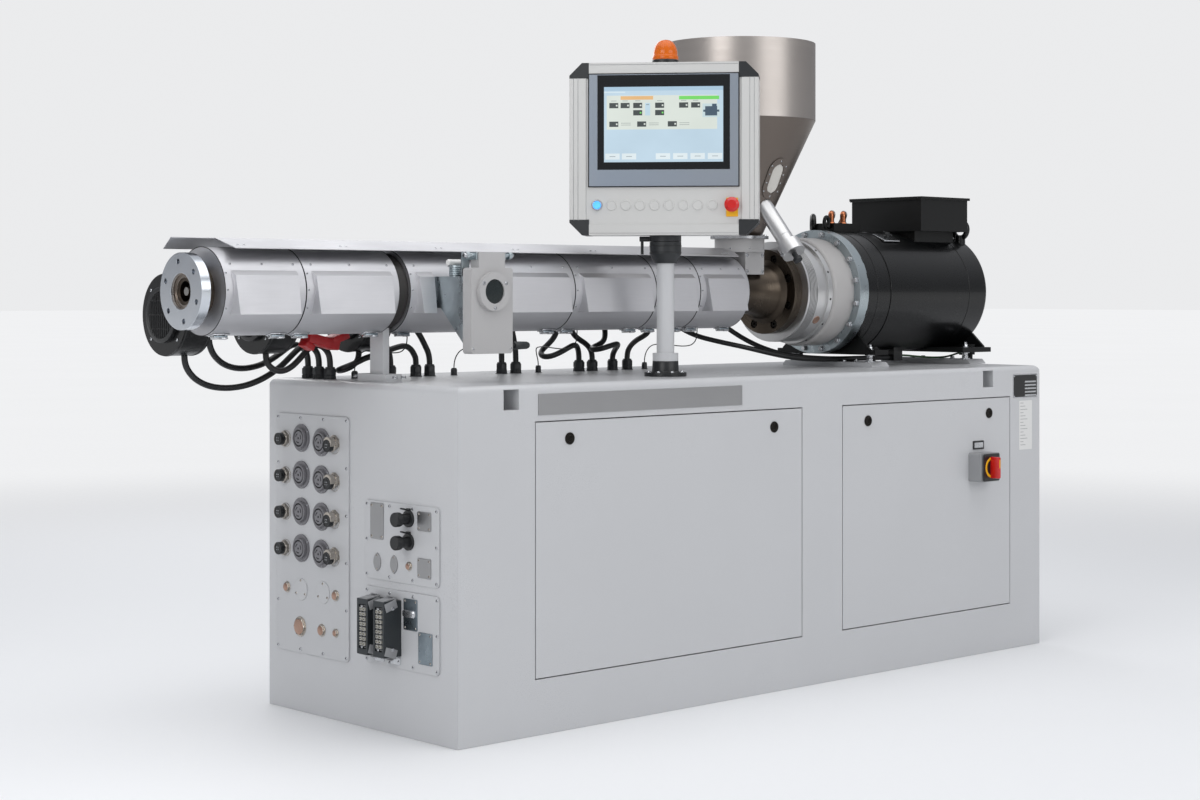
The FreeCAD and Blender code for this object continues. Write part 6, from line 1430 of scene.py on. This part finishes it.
# main switch: plate, yellow ring, handle insert, label holder
swLow, swHigh = at("switch_box", (0, 0, 0)), at("switch_box", (1, 1, 1))
swX, swZ = (swLow.x + swHigh.x) / 2, (swLow.z + swHigh.z) / 2
bm = bmesh.new()
frontPlate(bm, (swLow.x + 8, swLow.z + 2), (swHigh.x - 8, swHigh.z - 2), 4, swLow.y + 1.0, 1.6,
        0.5)
for x in (swLow.x + 15, swHigh.x - 15):
    for z in (swLow.z + 9, swHigh.z - 9):
        panScrew(bm, (x, swLow.y - 0.4, z), onFront, 2.6, 1.4)
frontPlate(bm, (swX - 26, 622), (swX + 26, 648), 2, -400, 3.0, 0.8)
finishPiece(bm, "switch_plate", "label_black", slot="plastic_black")
bm = bmesh.new()
frontPlate(bm, (swX - 21, 627), (swX + 21, 643), 1, -402.9, 0.6, 0.2)
finishZinc(bm, "switch_label")
bm = bmesh.new()
turn(bm, (swX, -430.0, swZ), onFront, [(20.0, 31), (21.6, 31), (22.4, 30), (22.4, 24)], steps=48)
finishPiece(bm, "switch_ring", "yellow_cap", slot="painted_cream")
bm = bmesh.new()
turn(bm, (swX, -431, swZ), onFront, [(0, 24.4), (7, 24.4), (10, 22.4), (10, 0)], steps=48)
block(bm, (swX, -461, swZ), (14, 40.4, 65), 4.5)
for side in (-1, 1):
    block(bm, (swX + side * 7.2, -465, swZ), (1.6, 24, 44), 0.7)
grip = finishPiece(bm, "switch_grip", "stop_red", body="main_switch")
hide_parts("switch_handle")
bm = bmesh.new()
block(bm, (swX, -481.35, swZ + 12), (4.6, 1.0, 26), 0.3)
finishPiece(bm, "switch_pointer", "yellow_cap", body="main_switch", slot="stop_red")

# gland nuts: rings with flats on every gland, and rubber lips
glands = [(-1113, 300), (-1113, 250), (-1113, 200), (-916, 200), (-830, 200), (-783, 200),
          (-527, 200), (-475, 200), (-235, 200), (-183, 200), (-102, 200), (-43, 200)]
wireGlands = [(-1034, 200), (-698, 200), (-391, 200), (28, 200)]
bm = bmesh.new()
for x, y in glands:
    turn(bm, (x, y, 870), (0, 0, 1), [(0, 17.5), (1.6, 17.5), (1.6, 16.4, 6), (9, 16.4, 6),
                                      (10, 15.2), (12, 14.4), (12, 16.2, 6), (26, 16.2, 6),
                                      (28, 14), (32.4, 10.8), (32.4, 8.2)], steps=24,
         spin=random.random())
for x, y in wireGlands:
    turn(bm, (x, y, 870), (0, 0, 1), [(0, 10), (1.2, 10), (1.2, 9, 6), (7, 9, 6), (8, 8),
                                      (8, 9, 6), (16, 9, 6), (18, 7), (20.4, 4), (20.4, 1.6)],
         steps=24, spin=random.random())
finishPiece(bm, "gland_nuts", "plastic_black")
print("connectors, switch and glands dressed")

# heater blowers: inlet grilles, casing bands and bright screws
blowers = [(-1601, 81, 217, 1042, 102, -1), (-1343, 81, 217, 1042, 102, -1),
           (-1049, 81, 217, 1042, 102, -1), (-606, 81, 193, 1088, 78, -1),
           (-340, 81, 193, 1088, 78, 1), (-209, 81, 193, 1088, 78, -1), (20, 81, 193, 1088, 78,
                   -1)]
bm = bmesh.new()
for x, wide, y, z, radius, way in blowers:
    near = x if way < 0 else x + wide
    out = Vector((way, 0, 0))
    tip = near + way * 9
    turn(bm, (tip, y, z), out, [(-9, radius * 0.6), (-9, radius * 0.68), (1.6, radius * 0.68),
                                (3.0, radius * 0.66), (3.0, radius * 0.58), (0.4, radius * 0.56)],
         steps=48)
    # a near-black disc behind the grille bars is painted shade inside the inlet
    turn(bm, (tip, y, z), out, [(0.3, radius * 0.57), (0.4, 0)], steps=40, tone=1)
    for k in range(-5, 6):
        offset = radius * 0.5 * k / 5.6
        reach = 2 * math.sqrt(max(1, (radius * 0.56) ** 2 - offset ** 2))
        block(bm, (tip + way * 1.9, y + offset, z), (1.6, 1.9, reach), 0.3)
    for k in range(-1, 2):
        offset = radius * 0.34 * k
        reach = 2 * math.sqrt(max(1, (radius * 0.56) ** 2 - offset ** 2))
        block(bm, (tip + way * 1.1, y, z + offset), (1.4, reach, 2.2), 0.3)
    for along in (4, wide - 8):
        turn(bm, (x + along, y, z), (1, 0, 0), [(0, radius - 0.4), (0.6, radius + 1.0),
                                                (3.4, radius + 1.0), (4, radius - 0.4)], steps=64)
finishPiece(bm, "blower_grilles", ["motor_trim", "dark_gap"], slot="painted_black")
bm = bmesh.new()
for x, wide, y, z, radius, way in blowers:
    near = x if way < 0 else x + wide
    for k in range(4):
        angle = math.radians(45 + 90 * k)
        panScrew(bm, (near, y + radius * 0.84 * math.cos(angle),
                z + radius * 0.84 * math.sin(angle)),
                 (way, 0, 0), 4.2, 2.4, inner=1)
finishScrews(bm, "blower_screws")
print("blowers dressed")

# floor, light and air
floorLook = {"tone": (236, 237, 238), "half": 120.0, "fade": (2.6, 8.0),
             "air": (0.83, 0.835, 0.845, 1)}
floorMesh = bpy.data.meshes.new("floor")
half = floorLook["half"]
floorMesh.from_pydata([(-half, -half, 0), (half, -half, 0), (half, half, 0), (-half, half, 0)],
                      [], [(0, 1, 2, 3)])
floor = bpy.data.objects.new("floor", floorMesh)
floor.location.z = -0.0005
floorPaint = makeFinish("floorPaint", floorLook["tone"], rough=(0.5, 0.62), size=30.0,
                        bump=0.02, second=0.01, drift=0.4, wear=0.0, dust=0.0)
floorMesh.materials.append(floorPaint)

# far from the machine the floor fades into the colour of the air behind it
tree = floorPaint.node_tree
shader = tree.nodes["Principled BSDF"]
where = addNode(tree, "TexCoord")
reach = addNode(tree, "VectorMath", [(0, where.outputs["Object"])], operation="LENGTH")
fade = addNode(tree, "MapRange", [("Value", reach.outputs["Value"]),
                                  ("From Min", floorLook["fade"][0]),
                                  ("From Max", floorLook["fade"][1])],
               interpolation_type="SMOOTHSTEP")
near = shader.inputs["Base Color"].links[0].from_socket
dim = mixTones(tree, fade.outputs[0], 1.0, near, (0, 0, 0, 1))
tree.links.new(dim, shader.inputs["Base Color"])
glow = mixTones(tree, fade.outputs[0], 1.0, (0, 0, 0, 1), floorLook["air"])
tree.links.new(glow, shader.inputs["Emission Color"])
shader.inputs["Emission Strength"].default_value = 1.0
shader.inputs["Specular IOR Level"].default_value = 0.1
scene.collection.objects.link(floor)

lamps = {
    "overhead": {"place": (-0.6, -0.6, 4.6), "aim": (-0.2, 0, 0.8), "size": (6.0, 3.6), "watts": 95},
    "window": {"place": (-5.2, -1.6, 2.6), "aim": (-0.6, 0, 0.8), "size": (2.6, 2.6), "watts": 62},
    "front": {"place": (0.6, -5.6, 2.8), "aim": (0.2, 0, 0.8), "size": (4.4, 2.4), "watts": 70},
    "behind": {"place": (1.6, 4.6, 3.4), "aim": (0, 0, 1.0), "size": (4.0, 2.4), "watts": 60},
}
for name, lamp in lamps.items():
    light = bpy.data.lights.new(name, "AREA")
    light.shape = "RECTANGLE"
    light.size, light.size_y = lamp["size"]
    light.energy = lamp["watts"]
    stand = bpy.data.objects.new(name, light)
    stand.location = lamp["place"]
    way = Vector(lamp["aim"]) - Vector(lamp["place"])
    stand.rotation_euler = way.to_track_quat("-Z", "Y").to_euler()
    scene.collection.objects.link(stand)

air = bpy.data.worlds.new("air")
air.use_nodes = True
scene.world = air
tree = air.node_tree
back = tree.nodes["Background"]
direction = addNode(tree, "TexCoord")
split = addNode(tree, "SeparateXYZ", [(0, direction.outputs["Generated"])])
ramp = addNode(tree, "ValToRGB", [(0, split.outputs["Z"])])
ramp.color_ramp.elements[0].position = 0.0
ramp.color_ramp.elements[0].color = (0.19, 0.195, 0.21, 1)
ramp.color_ramp.elements[1].position = 0.55
ramp.color_ramp.elements[1].color = (0.58, 0.59, 0.62, 1)
seen = addNode(tree, "LightPath")
shown = addNode(tree, "Mix", [(0, seen.outputs["Is Camera Ray"]), (6, ramp.outputs["Color"]),
                              (7, floorLook["air"])], data_type="RGBA")
tree.links.new(shown.outputs[2], back.inputs["Color"])
back.inputs["Strength"].default_value = 1.0
scene.view_settings.view_transform = "Standard"
print("floor and lights set")
